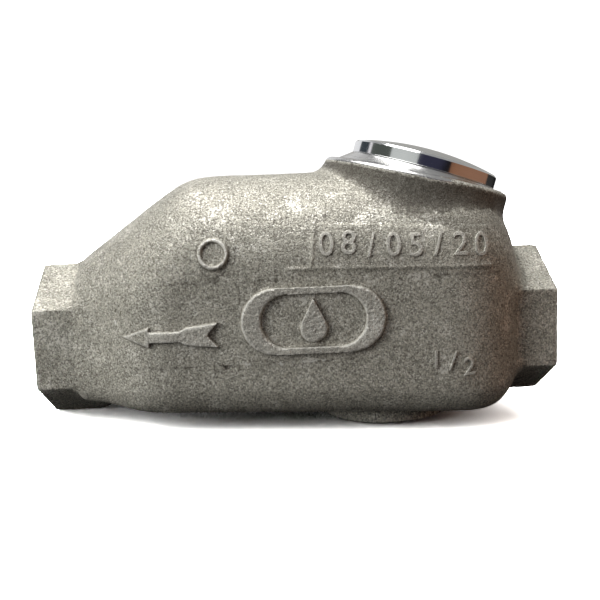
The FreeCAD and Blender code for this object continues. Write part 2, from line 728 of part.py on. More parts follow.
# The oil space, with the air tube, the two valve bosses and the feed lug left standing in it
air_tube = cylinder("air_tube", "air_bore/2 + tube_wall", "overall_length")
air_tube.Placement = Placement(Vector(0, 0, 0), Rotation(Vector(0, 1, 0), 90))
metering_boss = place(cylinder("metering_boss", "meter_boss_radius", "meter_boss_top"), x="meter_x")
check_boss = place(cylinder("check_boss", "check_boss_radius", "check_boss_top"), x="check_x")


def place_on_feed(item, out="0"):
    """Lays an object along the oil feed, which runs from the metering axis towards +Y."""
    return place(item, x="meter_x", y=out, z="feed_height", axis=Vector(1, 0, 0), angle="-90")


feed_lug = place_on_feed(cylinder("feed_lug", "lug_radius", "lug_reach"))
inner_cores = fuse("inner_cores", [air_tube, metering_boss, check_boss, feed_lug])
oil_space = cut("oil_space", cavity_form, inner_cores)

CLIP_X = "(venturi_start + venturi_length)"
CLIP_END = f"({CLIP_X} + clip_thickness + 2*slide_gap)"
flow_bore = revolved(
    "flow_bore",
    [
        ("0", "0"),
        ("0", "port_bore/2 + port_chamfer"),
        ("port_chamfer", "port_bore/2"),
        ("port_depth", "port_bore/2"),
        ("port_depth + port_run_out", "outlet_bore/2"),
        ("venturi_start", "outlet_bore/2"),
        ("venturi_start", "air_bore/2"),
        (CLIP_X, "air_bore/2"),
        (CLIP_X, "air_bore/2 + clip_groove_depth"),
        (CLIP_END, "air_bore/2 + clip_groove_depth"),
        (CLIP_END, "air_bore/2"),
        ("overall_length - port_depth - port_run_out", "air_bore/2"),
        ("overall_length - port_depth", "port_bore/2"),
        ("overall_length - port_chamfer", "port_bore/2"),
        ("overall_length", "port_bore/2 + port_chamfer"),
        ("overall_length", "0"),
    ],
    axis=Vector(1, 0, 0),
)
meter_bore = place(
    revolved(
        "meter_bore",
        [
            ("0", "0"),
            ("seat_shank/2", "0"),
            ("seat_shank/2", "seat_ledge"),
            ("meter_thread/2", "seat_ledge"),
            ("meter_thread/2", "meter_boss_top + overcut"),
            ("0", "meter_boss_top + overcut"),
        ],
    ),
    x="meter_x",
)
check_bore = place(
    revolved(
        "check_bore",
        [
            ("0", "0"),
            ("check_hole/2", "0"),
            ("check_hole/2", "check_ledge"),
            ("check_thread/2", "check_ledge"),
            ("check_thread/2", "check_boss_top + overcut"),
            ("0", "check_boss_top + overcut"),
        ],
    ),
    x="check_x",
)
GLAND_FLOOR = "(lug_reach - gland_depth)"
feed_bore = place_on_feed(
    revolved(
        "feed_bore",
        [
            ("0", "0"),
            ("feed_hole/2", "0"),
            ("feed_hole/2", GLAND_FLOOR),
            ("gland_thread/2", GLAND_FLOOR),
            ("gland_thread/2", "lug_reach + overcut"),
            ("0", "lug_reach + overcut"),
        ],
    )
)
core_bore = place(
    revolved(
        "core_bore",
        [
            ("0", "-foot_depth - overcut"),
            ("core_hole/2", "-foot_depth - overcut"),
            ("core_hole/2", "-core_ledge_depth"),
            ("core_hole/2 - core_ledge", "-core_ledge_depth"),
            ("core_hole/2 - core_ledge", "-base_drop + wall + 2*overcut"),
            ("0", "-base_drop + wall + 2*overcut"),
        ],
    ),
    x="foot_x",
)
filler_bore = place_on_filler(
    cylinder("filler_bore", "filler_thread/2", "2*filler_thread_depth"), up="-filler_thread_depth"
)

casting_solid = fuse("casting_solid", [outer_form, outlet_hex, inlet_hex, neck, neck_land, foot, marks])
hollows = fuse("hollows", [oil_space, flow_bore, meter_bore, check_bore, feed_bore, core_bore, filler_bore])
body_casting = cut("body_casting", casting_solid, hollows)

# The filler plug: a rimmed, domed plug with a hexagon socket, hollow below
RING_ROOM = "(plug_ring_section/2 + ring_play)"
PLUG_BORE = "filler_thread/2"
PLUG_FLOOR = f"{PLUG_BORE} - plug_ring_section - 2*slide_gap"
PLUG_EDGE = "(plug_rim_radius - plug_chamfer)"
PLUG_SHOULDER = "(plug_rim_height + plug_chamfer)"
filler_plug = turned(
    "filler_plug",
    [
        ("0", "-plug_hollow_top"),
        ("plug_hollow_radius", "-plug_hollow_top"),
        ("plug_hollow_radius", "-plug_reach"),
        (f"{PLUG_BORE} - thread_gap - plug_chamfer", "-plug_reach"),
        (f"{PLUG_BORE} - thread_gap", "-plug_reach + plug_chamfer"),
        (f"{PLUG_BORE} - thread_gap", f"-plug_ring_drop - {RING_ROOM}"),
        (PLUG_FLOOR, f"-plug_ring_drop - {RING_ROOM}"),
        (PLUG_FLOOR, f"-plug_ring_drop + {RING_ROOM}"),
        (f"{PLUG_BORE} - thread_gap", f"-plug_ring_drop + {RING_ROOM}"),
        (f"{PLUG_BORE} - thread_gap", "0"),
        ("plug_rim_radius", "0"),
        ("plug_rim_radius", "plug_rim_height"),
        (PLUG_EDGE, PLUG_SHOULDER),
        (
            "0",
            f"{PLUG_SHOULDER} + plug_dome_rise",
            f"({PLUG_EDGE}^2 + plug_dome_rise^2)/(2*plug_dome_rise)",
            1,
        ),
    ],
)
socket = body_sketch(filler_plug, "plug_socket_outline", "XY_Plane", f"{PLUG_SHOULDER} + plug_dome_rise")
draw(socket, polygon("0", "0", "plug_socket_flats", 6))
pocket(filler_plug, socket, "plug_socket", "plug_socket_depth")
place_on_filler(filler_plug, up="rest_gap")
filler_plug_seal = seal_ring("filler_plug_seal", f"{PLUG_BORE} - slide_gap", "plug_ring_section")
place_on_filler(filler_plug_seal, up="rest_gap - plug_ring_drop")

# The metering valve: a seat on the boss's ledge, and a needle screwed down over it
SEAT_TOP = "(seat_ledge + seat_head)"
needle_seat = turned(
    "needle_seat",
    [
        ("seat_hole/2", "air_bore/2 + 2*slide_gap"),
        ("seat_shank/2 - slide_gap", "air_bore/2 + 2*slide_gap"),
        ("seat_shank/2 - slide_gap", "seat_ledge"),
        ("meter_thread/2 - slide_gap", "seat_ledge"),
        ("meter_thread/2 - slide_gap", SEAT_TOP),
        ("seat_mouth/2", SEAT_TOP),
        ("seat_hole/2", f"{SEAT_TOP} - (seat_mouth - seat_hole)/2"),
    ],
)
place(needle_seat, x="meter_x")
TIP = f"({SEAT_TOP} - seat_mouth/2 + needle_gap*sqrt(2))"
NEEDLE_ROOM = "(needle_ring_section/2 + ring_play)"
NEEDLE_FLOOR = "meter_thread/2 - needle_ring_section - 2*slide_gap"
HEAD_FOOT = "(meter_boss_top + needle_spring_height)"
metering_needle = turned(
    "metering_needle",
    [
        ("0", TIP),
        ("needle_stem/2", f"{TIP} + needle_stem/2"),
        ("needle_stem/2", "needle_thread_start"),
        ("meter_thread/2 - thread_gap", "needle_thread_start"),
        ("meter_thread/2 - thread_gap", f"needle_ring_height - {NEEDLE_ROOM}"),
        (NEEDLE_FLOOR, f"needle_ring_height - {NEEDLE_ROOM}"),
        (NEEDLE_FLOOR, f"needle_ring_height + {NEEDLE_ROOM}"),
        ("meter_thread/2 - thread_gap", f"needle_ring_height + {NEEDLE_ROOM}"),
        ("meter_thread/2 - thread_gap", "needle_thread_end"),
        ("needle_neck/2", "needle_thread_end"),
        ("needle_neck/2", HEAD_FOOT),
        ("needle_head/2", HEAD_FOOT),
        ("needle_head/2", f"{HEAD_FOOT} + needle_head_height"),
        ("0", f"{HEAD_FOOT} + needle_head_height"),
    ],
)
slot = body_sketch(metering_needle, "needle_slot_outline", "XY_Plane", f"{HEAD_FOOT} + needle_head_height")
quarters = (("-", "-"), ("", "-"), ("", ""), ("-", ""))
draw(slot, [(f"{x}needle_head", f"{y}needle_slot/2") for x, y in quarters])
pocket(metering_needle, slot, "needle_slot_cut", "needle_slot_depth")
place(metering_needle, x="meter_x")
needle_seal = seal_ring("needle_seal", "meter_thread/2 - slide_gap", "needle_ring_section")
place(needle_seal, x="meter_x", z="needle_ring_height")
needle_lock_spring = spring(
    "needle_lock_spring",
    "lock_spring_mean",
    "lock_spring_wire",
    "lock_spring_turns",
    "needle_spring_height",
)
place(needle_lock_spring, x="meter_x", z="meter_boss_top + rest_gap + lock_spring_wire/2")

# The oil pick-up: a bent tube held in the lug by a ferrule and a gland nut, with a strainer on its end
TUBE_START = f"({GLAND_FLOOR} + rest_gap)"
pickup_tube = new_body("pickup_tube")
tube_section = body_sketch(pickup_tube, "tube_section", "XZ_Plane", f"-{TUBE_START}")
circle(tube_section, "0", "feed_height", "pickup_outside/2")
circle(tube_section, "0", "feed_height", "pickup_outside/2 - pickup_wall")
tube_path = draw(
    body_sketch(pickup_tube, "tube_path", "YZ_Plane"),
    [
        (TUBE_START, "feed_height"),
        ("pickup_reach - pickup_bend", "feed_height"),
        ("pickup_reach", "feed_height - pickup_bend", "pickup_bend", -1),
        ("pickup_reach", "-pickup_end + rest_gap"),
    ],
    closed=False,
)
tube = pickup_tube.newObject("PartDesign::AdditivePipe", "tube")
tube.Profile = tube_section
tube.Spine = tube_path
place(pickup_tube, x="meter_x")

FERRULE_INSIDE = "(pickup_outside/2 + slide_gap)"
FERRULE_OUTSIDE = "(gland_thread/2 - thread_gap)"
FERRULE_END = f"({TUBE_START} + ferrule_length)"
pickup_ferrule = turned(
    "pickup_ferrule",
    [
        (FERRULE_INSIDE, TUBE_START),
        (FERRULE_OUTSIDE, TUBE_START),
        (FERRULE_OUTSIDE, f"{TUBE_START} + ferrule_length/2"),
        (f"({FERRULE_INSIDE} + {FERRULE_OUTSIDE})/2", FERRULE_END),
        (FERRULE_INSIDE, FERRULE_END),
    ],
)
place_on_feed(pickup_ferrule)
gland_hexagon = place(hexagon("gland_hexagon", "gland_flats", "gland_head"), z="lug_reach")
gland_shank = place(
    cylinder("gland_shank", FERRULE_OUTSIDE, f"lug_reach - {FERRULE_END} - rest_gap + gland_head/2"),
    z=f"{FERRULE_END} + rest_gap",
)
gland_hole = cylinder("gland_hole", FERRULE_INSIDE, "lug_reach + 2*gland_head")
pickup_gland_nut = cut("pickup_gland_nut", fuse("gland_blank", [gland_hexagon, gland_shank]), gland_hole)
place_on_feed(pickup_gland_nut)
STRAINER_TOP = "(strainer_socket - pickup_end)"
STRAINER_FLOOR = f"({STRAINER_TOP} - strainer_length + strainer_floor)"
pickup_strainer = turned(
    "pickup_strainer",
    [
        ("0", f"{STRAINER_FLOOR} - strainer_floor"),
        ("strainer_outside/2", f"{STRAINER_FLOOR} - strainer_floor"),
        ("strainer_outside/2", STRAINER_TOP),
        (FERRULE_INSIDE, STRAINER_TOP),
        (FERRULE_INSIDE, "-pickup_end"),
        ("pickup_outside/2 - pickup_wall", "-pickup_end"),
        ("pickup_outside/2 - pickup_wall", STRAINER_FLOOR),
        ("0", STRAINER_FLOOR),
    ],
)
for role in ("XZ_Plane", "YZ_Plane"):
    holes = body_sketch(pickup_strainer, f"strainer_holes_{role[:2].lower()}", role)
    circle(holes, "0", f"({STRAINER_FLOOR} - pickup_end)/2", "strainer_hole/2")
    pocket(pickup_strainer, holes, f"strainer_cross_{role[:2].lower()}", midplane=True)
place(pickup_strainer, x="meter_x", y="pickup_reach")

# The venturi insert, sealed in the air tube on both sides of its oil groove
INSERT = "(air_bore/2 - slide_gap)"
INSERT_FLOOR = "air_bore/2 - venturi_ring_section - 2*slide_gap"
INSERT_ROOM = "(venturi_ring_section/2 + ring_play)"
DOWNSTREAM_RING = "(venturi_start + venturi_ring_inset)"
UPSTREAM_RING = f"({CLIP_X} - venturi_ring_inset)"


def turned_groove(middle, half_width, floor):
    """The four corners of a groove in the insert's outside, on the way downstream."""
    return [
        (f"{middle} + {half_width}", INSERT),
        (f"{middle} + {half_width}", floor),
        (f"{middle} - {half_width}", floor),
        (f"{middle} - {half_width}", INSERT),
    ]


venturi_insert = turned(
    "venturi_insert",
    [
        ("venturi_start", "venturi_tail/2"),
        ("meter_x - throat_length/2", "throat_bore/2"),
        ("meter_x + throat_length/2", "throat_bore/2"),
        (CLIP_X, "venturi_mouth/2"),
        (CLIP_X, INSERT),
        *turned_groove(UPSTREAM_RING, INSERT_ROOM, INSERT_FLOOR),
        *turned_groove("meter_x", "oil_groove_width/2", f"{INSERT} - oil_groove_depth"),
        *turned_groove(DOWNSTREAM_RING, INSERT_ROOM, INSERT_FLOOR),
        ("venturi_start", INSERT),
    ],
    axis="H_Axis",
)
for role in ("XY_Plane", "XZ_Plane"):
    jets = body_sketch(venturi_insert, f"jets_{role[:2].lower()}", role)
    circle(jets, "meter_x", "0", "oil_jet/2")
    pocket(venturi_insert, jets, f"jet_cross_{role[:2].lower()}", midplane=True)


def insert_seal(label, x):
    """A seal ring round the insert."""
    item = seal_ring(label, "air_bore/2 - slide_gap", "venturi_ring_section")
    return place(item, x=x, axis=Vector(0, 1, 0), angle="90")


venturi_seal_downstream = insert_seal("venturi_seal_downstream", DOWNSTREAM_RING)
venturi_seal_upstream = insert_seal("venturi_seal_upstream", UPSTREAM_RING)
CLIP_OUTSIDE = "air_bore/2 + clip_groove_depth - thread_gap"
venturi_retaining_ring = turned(
    "venturi_retaining_ring",
    [
        (f"{CLIP_X} + slide_gap", "clip_inside/2"),
        (f"{CLIP_X} + slide_gap + clip_thickness", "clip_inside/2"),
        (f"{CLIP_X} + slide_gap + clip_thickness", CLIP_OUTSIDE),
        (f"{CLIP_X} + slide_gap", CLIP_OUTSIDE),
    ],
    axis="H_Axis",
    angle="360 - clip_gap_angle",
)
place(venturi_retaining_ring, axis=Vector(1, 0, 0), angle="180 + clip_gap_angle/2")

# The check valve: a seat, a ball and a spring under a screwed cage
CHECK_SEAT_TOP = "(check_ledge + check_seat_height)"
check_valve_seat = turned(
    "check_valve_seat",
    [
        ("check_hole/2", "check_ledge"),
        ("check_thread/2 - slide_gap", "check_ledge"),
        ("check_thread/2 - slide_gap", CHECK_SEAT_TOP),
        ("check_mouth/2", CHECK_SEAT_TOP),
        ("check_hole/2", f"{CHECK_SEAT_TOP} - (check_mouth - check_hole)/2"),
    ],
)
place(check_valve_seat, x="check_x")
BALL_Z = f"({CHECK_SEAT_TOP} - check_mouth/2 + check_ball_radius*sqrt(2) + rest_gap)"
check_ball = doc.addObject("Part::Sphere", "check_ball")
bind(check_ball, "Radius", "check_ball_radius")
place(check_ball, x="check_x", z=BALL_Z)
CAGE_FOOT = f"({CHECK_SEAT_TOP} + rest_gap)"
CAGE_ROOF = "(cage_top - cage_roof)"
cage_hexagon = hexagon("cage_hexagon", "cage_flats", "cage_top - check_boss_top - rest_gap")
place(cage_hexagon, z="check_boss_top + rest_gap")
cage_shank = place(
    cylinder("cage_shank", "check_thread/2 - thread_gap", f"{CAGE_ROOF} - {CAGE_FOOT}"), z=CAGE_FOOT
)
cage_hollow = revolved(
    "cage_hollow",
    [
        ("0", f"{CAGE_FOOT} - overcut"),
        ("cage_bore/2", f"{CAGE_FOOT} - overcut"),
        ("cage_bore/2", CAGE_ROOF),
        ("cage_vent/2", CAGE_ROOF),
        ("cage_vent/2", "cage_top + overcut"),
        ("0", "cage_top + overcut"),
    ],
)
check_valve_cage = cut("check_valve_cage", fuse("cage_blank", [cage_hexagon, cage_shank]), cage_hollow)
place(check_valve_cage, x="check_x")
SPRING_FOOT = f"({BALL_Z} + check_ball_radius)"
check_spring = spring(
    "check_spring",
    "check_spring_mean",
    "check_spring_wire",
    "check_spring_turns",
    f"({CAGE_ROOF} - {SPRING_FOOT})",
)
place(check_spring, x="check_x", z=f"{SPRING_FOOT} + rest_gap + check_spring_wire/2")

# The core plug: a pressed cup, mouth down, driven up against the ledge in the foot
CUP = "(core_hole/2 - slide_gap)"
CUP_TOP = "(-core_ledge_depth - rest_gap)"
core_plug = turned(
    "core_plug",
    [
        ("0", CUP_TOP),
        ("0", f"{CUP_TOP} - core_plug_wall"),
        (f"{CUP} - 2*core_plug_wall", f"{CUP_TOP} - core_plug_wall"),
        (f"{CUP} - core_plug_wall", f"{CUP_TOP} - 2*core_plug_wall", "core_plug_wall", -1),
        (f"{CUP} - core_plug_wall", f"{CUP_TOP} - core_plug_height"),
        (CUP, f"{CUP_TOP} - core_plug_height"),
        (CUP, f"{CUP_TOP} - 2*core_plug_wall"),
        (f"{CUP} - 2*core_plug_wall", CUP_TOP, "2*core_plug_wall", 1),
    ],
)
place(core_plug, x="foot_x")

PIECES = (
    body_casting,
    filler_plug,
    filler_plug_seal,
    core_plug,
    venturi_insert,
    venturi_seal_downstream,
    venturi_seal_upstream,
    venturi_retaining_ring,
    needle_seat,
    metering_needle,
    needle_seal,
    needle_lock_spring,
    pickup_tube,
    pickup_gland_nut,
    pickup_ferrule,
    pickup_strainer,
    check_valve_seat,
    check_ball,
    check_spring,
    check_valve_cage,
)

doc.recompute()
faults = [f"{item.Name}: {item.State}" for item in doc.Objects if {"Invalid", "Error"} & set(item.State)]
for piece in PIECES:
    if piece.Shape.isNull() or not piece.Shape.isValid() or len(piece.Shape.Solids) != 1:
        faults.append(f"{piece.Label}: shape")
if faults:
    raise RuntimeError("; ".join(faults))
os.makedirs("parts", exist_ok=True)
for piece in PIECES:
    piece.Shape.exportStep(f"parts/{piece.Label}.step")
    bound = piece.Shape.BoundBox
    print(f"{piece.Label}: {piece.Shape.Volume:.0f} mm3, z {bound.ZMin:.2f} to {bound.ZMax:.2f}")
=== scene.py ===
"""Looks of an in-line lubricator: a sand-cast iron body with hexagonal ports and a turned filler plug.

Lengths are in metres, in the part's own frame: the origin is on the air bore in the outlet face, +X runs
towards the inlet, +Z is up, and the marks are on the -Y side.
"""

import json
import logging
from dataclasses import dataclass
from enum import Enum, IntEnum
from math import atan2, ceil, cos, exp, hypot, pi, radians, sin, sqrt, tan

import bmesh
import bpy
from bmesh.types import BMEdge, BMesh, BMFace, BMLayerItem, BMVert
from bpy.types import ID, Material, Mesh, Node, NodeSocket, NodeTree, Object
from mathutils import Matrix, Vector, noise
from mathutils.bvhtree import BVHTree


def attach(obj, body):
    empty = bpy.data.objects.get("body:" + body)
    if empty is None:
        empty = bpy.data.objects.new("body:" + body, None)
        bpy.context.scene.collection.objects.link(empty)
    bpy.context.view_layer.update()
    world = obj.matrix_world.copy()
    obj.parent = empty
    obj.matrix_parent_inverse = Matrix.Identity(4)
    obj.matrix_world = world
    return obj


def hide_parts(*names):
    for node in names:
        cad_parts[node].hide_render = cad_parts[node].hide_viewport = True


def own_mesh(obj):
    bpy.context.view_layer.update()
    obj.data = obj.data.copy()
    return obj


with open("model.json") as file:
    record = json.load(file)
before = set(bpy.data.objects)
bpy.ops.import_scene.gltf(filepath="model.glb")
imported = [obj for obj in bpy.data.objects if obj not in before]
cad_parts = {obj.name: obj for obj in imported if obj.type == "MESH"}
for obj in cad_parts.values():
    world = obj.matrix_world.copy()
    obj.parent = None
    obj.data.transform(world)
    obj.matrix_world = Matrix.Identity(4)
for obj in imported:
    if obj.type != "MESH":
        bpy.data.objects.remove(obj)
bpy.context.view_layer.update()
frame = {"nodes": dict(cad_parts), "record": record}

MM = 0.001
WELD = 0.01 * MM
# The corners' wear-and-shade value: over a half is real edge wear, under a half is painted shade.
WEAR_AND_SHADE = "wear_and_shade"
LOG = logging.getLogger("lubricator")
Colour = tuple[float, float, float, float]
Triple = tuple[float, float, float]
Pair = tuple[float, float]
Row = tuple[float, ...]


class Body(Enum):
    """The moving bodies that the pieces ride on."""

    HOUSING = "housing"
    PLUG = "filler_plug"


class Surface(IntEnum):
    """How a face of the casting was made. The value is its material's place in the casting's slots."""

    CAST = 0
    CONE = 1
    FACED = 2


class Role(IntEnum):
    """What a face of the casting belongs to while its mesh is worked on."""

    INSIDE = 0
    SKIN = 1
    CUT = 2


@dataclass(frozen=True)
class FillerAxis:
    """The tilted axis of the filler: its seat's centre and its lean towards the inlet."""

    x: float = 111.75 * MM
    z: float = 44.75 * MM
    tilt: float = radians(17.2)

    @property
    def to_part(self) -> Matrix:
        """The matrix from the filler's own frame, seat at z = 0, to the part's frame."""
        return Matrix.Translation((self.x, 0, self.z)) @ Matrix.Rotation(self.tilt, 4, "Y")

    @property
    def from_part(self) -> Matrix:
        """The matrix from the part's frame to the filler's own frame."""
        return self.to_part.inverted()

    def local(self, point: Vector) -> tuple[Vector, float]:
        """Where a point lies in the filler's own frame, and how far from the axis."""
        local = self.from_part @ point
        return local, hypot(local.x, local.y)


FILLER = FillerAxis()


def clamp(value: float) -> float:
    """Keeps a value from 0 to 1."""
    return min(max(value, 0), 1)


@dataclass
class Wiring:
    """Adds nodes to a node tree and joins them."""

    tree: NodeTree

    def node(self, kind: str, inputs: dict | None = None, **settings: object) -> Node:
        """Adds one node.

        Args:
            kind: the shader node's type.
            inputs: values or other nodes' sockets, by the name or number of the input.
            settings: the node's own properties.

        Returns:
            The new node.
        """
        made = self.tree.nodes.new("ShaderNode" + kind)
        for key, value in settings.items():
            setattr(made, key, value)
        self.fill(made, inputs or {})
        return made

    def fill(self, node: Node, inputs: dict) -> None:
        """Sets a node's inputs.

        Args:
            node: the node.
            inputs: values or other nodes' sockets, by the name or number of the input.
        """
        for key, value in inputs.items():
            if isinstance(value, NodeSocket):
                self.tree.links.new(value, node.inputs[key])
            else:
                node.inputs[key].default_value = value

    def maths(self, operation: str, first: object, second: object = 0.0) -> NodeSocket:
        """Joins two values, each a socket or a number, with one operation."""
        return self.node("Math", {0: first, 1: second}, operation=operation).outputs[0]

    def blend(self, share: object, first: object, second: object) -> NodeSocket:
        """Blends two colours, each a socket or a colour, by the second one's share."""
        mixed = self.node("Mix", {"Factor": share, 6: first, 7: second}, data_type="RGBA")
        return mixed.outputs[2]

    def ramp(
        self, value: NodeSocket, low: float, high: float, start: float = 0.0, end: float = 1.0
    ) -> NodeSocket:
        """Stretches a value from the range low to high to the range start to end, clamped."""
        return self.node("MapRange", {0: value, 1: low, 2: high, 3: start, 4: end}).outputs[0]

    def grain(
        self, place: NodeSocket, scale: float, detail: float = 2.0, roughness: float = 0.5
    ) -> NodeSocket:
        """A noise pattern with a number of cells a metre."""
        inputs = {"Vector": place, "Scale": scale, "Detail": detail, "Roughness": roughness}
        return self.node("TexNoise", inputs).outputs[0]

    def bump(self, strength: float, distance: float, height: NodeSocket) -> NodeSocket:
        """Turns a height pattern, where 1 stands for the distance, into a bumpy normal."""
        inputs = {"Strength": strength, "Distance": distance, "Height": height}
        return self.node("Bump", inputs).outputs[0]


def group_tree(name: str, inputs: tuple[str, ...], outputs: tuple[str, ...]) -> tuple[Wiring, Node, Node]:
    """Starts a node group whose first input is a vector and whose other sockets are values.

    Args:
        name: the group's name.
        inputs: the inputs' names.
        outputs: the outputs' names.

    Returns:
        The group's wiring, input node and output node.
    """
    tree = bpy.data.node_groups.new(name, "ShaderNodeTree")
    for position, label in enumerate(inputs):
        kind = "NodeSocketVector" if position == 0 else "NodeSocketFloat"
        tree.interface.new_socket(name=label, in_out="INPUT", socket_type=kind)
    for label in outputs:
        tree.interface.new_socket(name=label, in_out="OUTPUT", socket_type="NodeSocketFloat")
    wiring = Wiring(tree)
    return wiring, tree.nodes.new("NodeGroupInput"), tree.nodes.new("NodeGroupOutput")


@dataclass(frozen=True)
class SandSkin:
    """The skin that moulding sand and blasting leave: grains, pits, bright specks and slow stains.

    Each pattern has its cells a metre, its detail and roughness, and then where it starts and is full.
    """

    lumps: Row = (420, 2.0, 0.55)
    grains: Row = (1600, 1.5, 0.6)
    fine: Row = (3300, 1.0)
    shares: Triple = (0.15, 0.45, 0.4)
    speck: Row = (2500, 1.0, 0.4, 0.57, 0.70)
    pit: Row = (1900, 1.5, 0.6, 0.42, 0.30)
    stain: Row = (60, 5.0, 0.65, 0.33, 0.68)
    scuff_patches: Row = (130, 3.0, 0.6)
    scuff_grains: Row = (1500, 2.0, 0.7)
    scuff_range: Pair = (0.315, 0.37)

    def group(self) -> NodeTree:
        """Builds the pattern.

        Returns:
            A group with Vector in, and Height, Speck, Pit, Stain and Scuff out.
        """
        names = ("Height", "Speck", "Pit", "Stain", "Scuff")
        wiring, start, end = group_tree("sand_skin", ("Vector",), names)
        place = start.outputs["Vector"]
        parts = [wiring.grain(place, *pattern) for pattern in (self.lumps, self.grains, self.fine)]
        shared = [wiring.maths("MULTIPLY", part, share) for part, share in zip(parts, self.shares)]
        height = wiring.maths("ADD", wiring.maths("ADD", shared[0], shared[1]), shared[2])
        patches = (wiring.grain(place, *self.scuff_patches), wiring.grain(place, *self.scuff_grains))
        scuff = wiring.ramp(wiring.maths("MULTIPLY", *patches), *self.scuff_range)
        wiring.fill(end, {"Height": height, "Scuff": scuff})
        for name, pattern in (("Speck", self.speck), ("Pit", self.pit), ("Stain", self.stain)):
            wiring.fill(end, {name: wiring.ramp(wiring.grain(place, *pattern[:3]), *pattern[3:])})
        return wiring.tree


def lathe_group(streak_cells: float = 120) -> NodeTree:
    """The fine rings that a turning tool leaves round an axis along Z.

    Args:
        streak_cells: how many cells a metre the sheen's streaks have.

    Returns:
        A group with Vector and Rings in, and Height and Sheen out.
    """
    wiring, start, end = group_tree("lathe_rings", ("Vector", "Rings"), ("Height", "Sheen"))
    split = wiring.node("SeparateXYZ", {0: start.outputs["Vector"]})
    squares = [wiring.maths("POWER", split.outputs[axis], 2) for axis in range(2)]
    across = wiring.maths("SQRT", wiring.maths("ADD", *squares))
    run = wiring.maths("MULTIPLY", wiring.maths("ADD", across, split.outputs[2]), start.outputs["Rings"])
    rings = wiring.node("TexNoise", {"W": run, "Scale": 1.0, "Detail": 3.0}, noise_dimensions="1D")
    streaks = wiring.grain(start.outputs["Vector"], streak_cells, 2.0)
    sheen = wiring.maths("MULTIPLY", rings.outputs[0], streaks)
    wiring.fill(end, {"Height": rings.outputs[0], "Sheen": sheen})
    return wiring.tree


SAND_SKIN = SandSkin().group()
LATHE_RINGS = lathe_group()


def new_material(name: str) -> tuple[Material, Wiring, Node, NodeSocket]:
    """Starts a material.

    Args:
        name: the material's name.

    Returns:
        The material, its wiring, its shader and its object coordinates.
    """
    material = bpy.data.materials.new(name)
    material.use_nodes = True
    wiring = Wiring(material.node_tree)
    shader = material.node_tree.nodes["Principled BSDF"]
    place = wiring.node("TexCoord").outputs["Object"]
    return material, wiring, shader, place


@dataclass(frozen=True)
class CastIron:
    """Sand-cast iron, shot blasted: a warm grey with dark pits, bright specks, lighter worn edges and painted
    shade where the wear-and-shade value is low.
    """

    name: str = "cast_iron"
    light: Colour = (0.60, 0.58, 0.505, 1)
    dark: Colour = (0.19, 0.181, 0.153, 1)
    worn: Colour = (0.80, 0.79, 0.74, 1)
    painted_shade: Colour = (0.07, 0.062, 0.05, 1)
    speck: Colour = (0.90, 0.88, 0.80, 1)
    pit: Colour = (0.06, 0.055, 0.045, 1)
    contrast: Pair = (0.42, 0.58)
    grain_share: float = 0.8
    stain_share: float = 0.2
    pit_share: float = 0.6
    speck_share: float = 0.7
    edge_wear: Row = (0.52, 0.80, 0.0, 0.85)
    painted_shade_ramp: Row = (0.47, 0.15, 0.0, 0.75)
    roughness: Pair = (0.58, 0.32)
    metallic: float = 0.6
    bump: float = 1.0
    depth: float = 0.38 * MM

    def material(self) -> Material:
        """Builds the material.

        Returns:
            The material.
        """
        material, wiring, shader, place = new_material(self.name)
        skin = wiring.node("Group", {"Vector": place}, node_tree=SAND_SKIN).outputs
        grain = wiring.maths("MULTIPLY", wiring.ramp(skin["Height"], *self.contrast), self.grain_share)
        tone = wiring.maths("ADD", grain, wiring.maths("MULTIPLY", skin["Stain"], self.stain_share))
        colour = wiring.blend(tone, self.dark, self.light)
        colour = wiring.blend(wiring.maths("MULTIPLY", skin["Pit"], self.pit_share), colour, self.pit)
        bright = wiring.maths("MAXIMUM", skin["Speck"], skin["Scuff"])
        colour = wiring.blend(wiring.maths("MULTIPLY", bright, self.speck_share), colour, self.speck)
        wear_and_shade = wiring.node("Attribute", attribute_name=WEAR_AND_SHADE).outputs["Fac"]
        colour = wiring.blend(wiring.ramp(wear_and_shade, *self.edge_wear), colour, self.worn)
        # Painted shade: a low wear-and-shade value, in creases, on the neck's wall and on the numerals'
        # sides, darkens the colour.
        colour = wiring.blend(wiring.ramp(wear_and_shade, *self.painted_shade_ramp), colour, self.painted_shade)
        rough = wiring.ramp(bright, 0, 1, *self.roughness)
        wiring.fill(shader, {"Base Color": colour, "Roughness": rough, "Metallic": self.metallic})
        wiring.fill(shader, {"Normal": wiring.bump(self.bump, self.depth, skin["Height"])})
        return material


@dataclass(frozen=True)
class TurnedMetal:
    """Metal turned on a lathe: fine rings round its axis.

    The axis is Z of the frame that the mapping turns the part's coordinates into.
    """

    name: str
    colour: Colour
    roughness: float
    origin: Triple = (0, 0, 0)
    lean: float = 0.0
    rings: float = 5200.0
    bump: float = 0.12
    metallic: float = 1.0
    depth: float = 0.05 * MM
    sheen: Pair = (0.1, 0.5)
    dulled: float = 0.82
    spread: Pair = (1.35, 0.8)

    def material(self) -> Material:
        """Builds the material.

        Returns:
            The material.
        """
        material, wiring, shader, place = new_material(self.name)
        shift = wiring.node("VectorMath", {0: place, 1: self.origin}, operation="SUBTRACT")
        turned = {"Vector": shift.outputs[0], "Angle": -self.lean}
        turn = wiring.node("VectorRotate", turned, rotation_type="Y_AXIS")
        inputs = {"Vector": turn.outputs[0], "Rings": self.rings}
        lathe = wiring.node("Group", inputs, node_tree=LATHE_RINGS).outputs
        darker = tuple(self.dulled * c for c in self.colour[:3]) + (1,)
        colour = wiring.blend(wiring.ramp(lathe["Sheen"], *self.sheen), darker, self.colour)
        spread = [self.roughness * share for share in self.spread]
        rough = wiring.ramp(lathe["Sheen"], *self.sheen, *spread)
        wiring.fill(shader, {"Base Color": colour, "Roughness": rough, "Metallic": self.metallic})
        wiring.fill(shader, {"Normal": wiring.bump(self.bump, self.depth, lathe["Height"])})
        return material


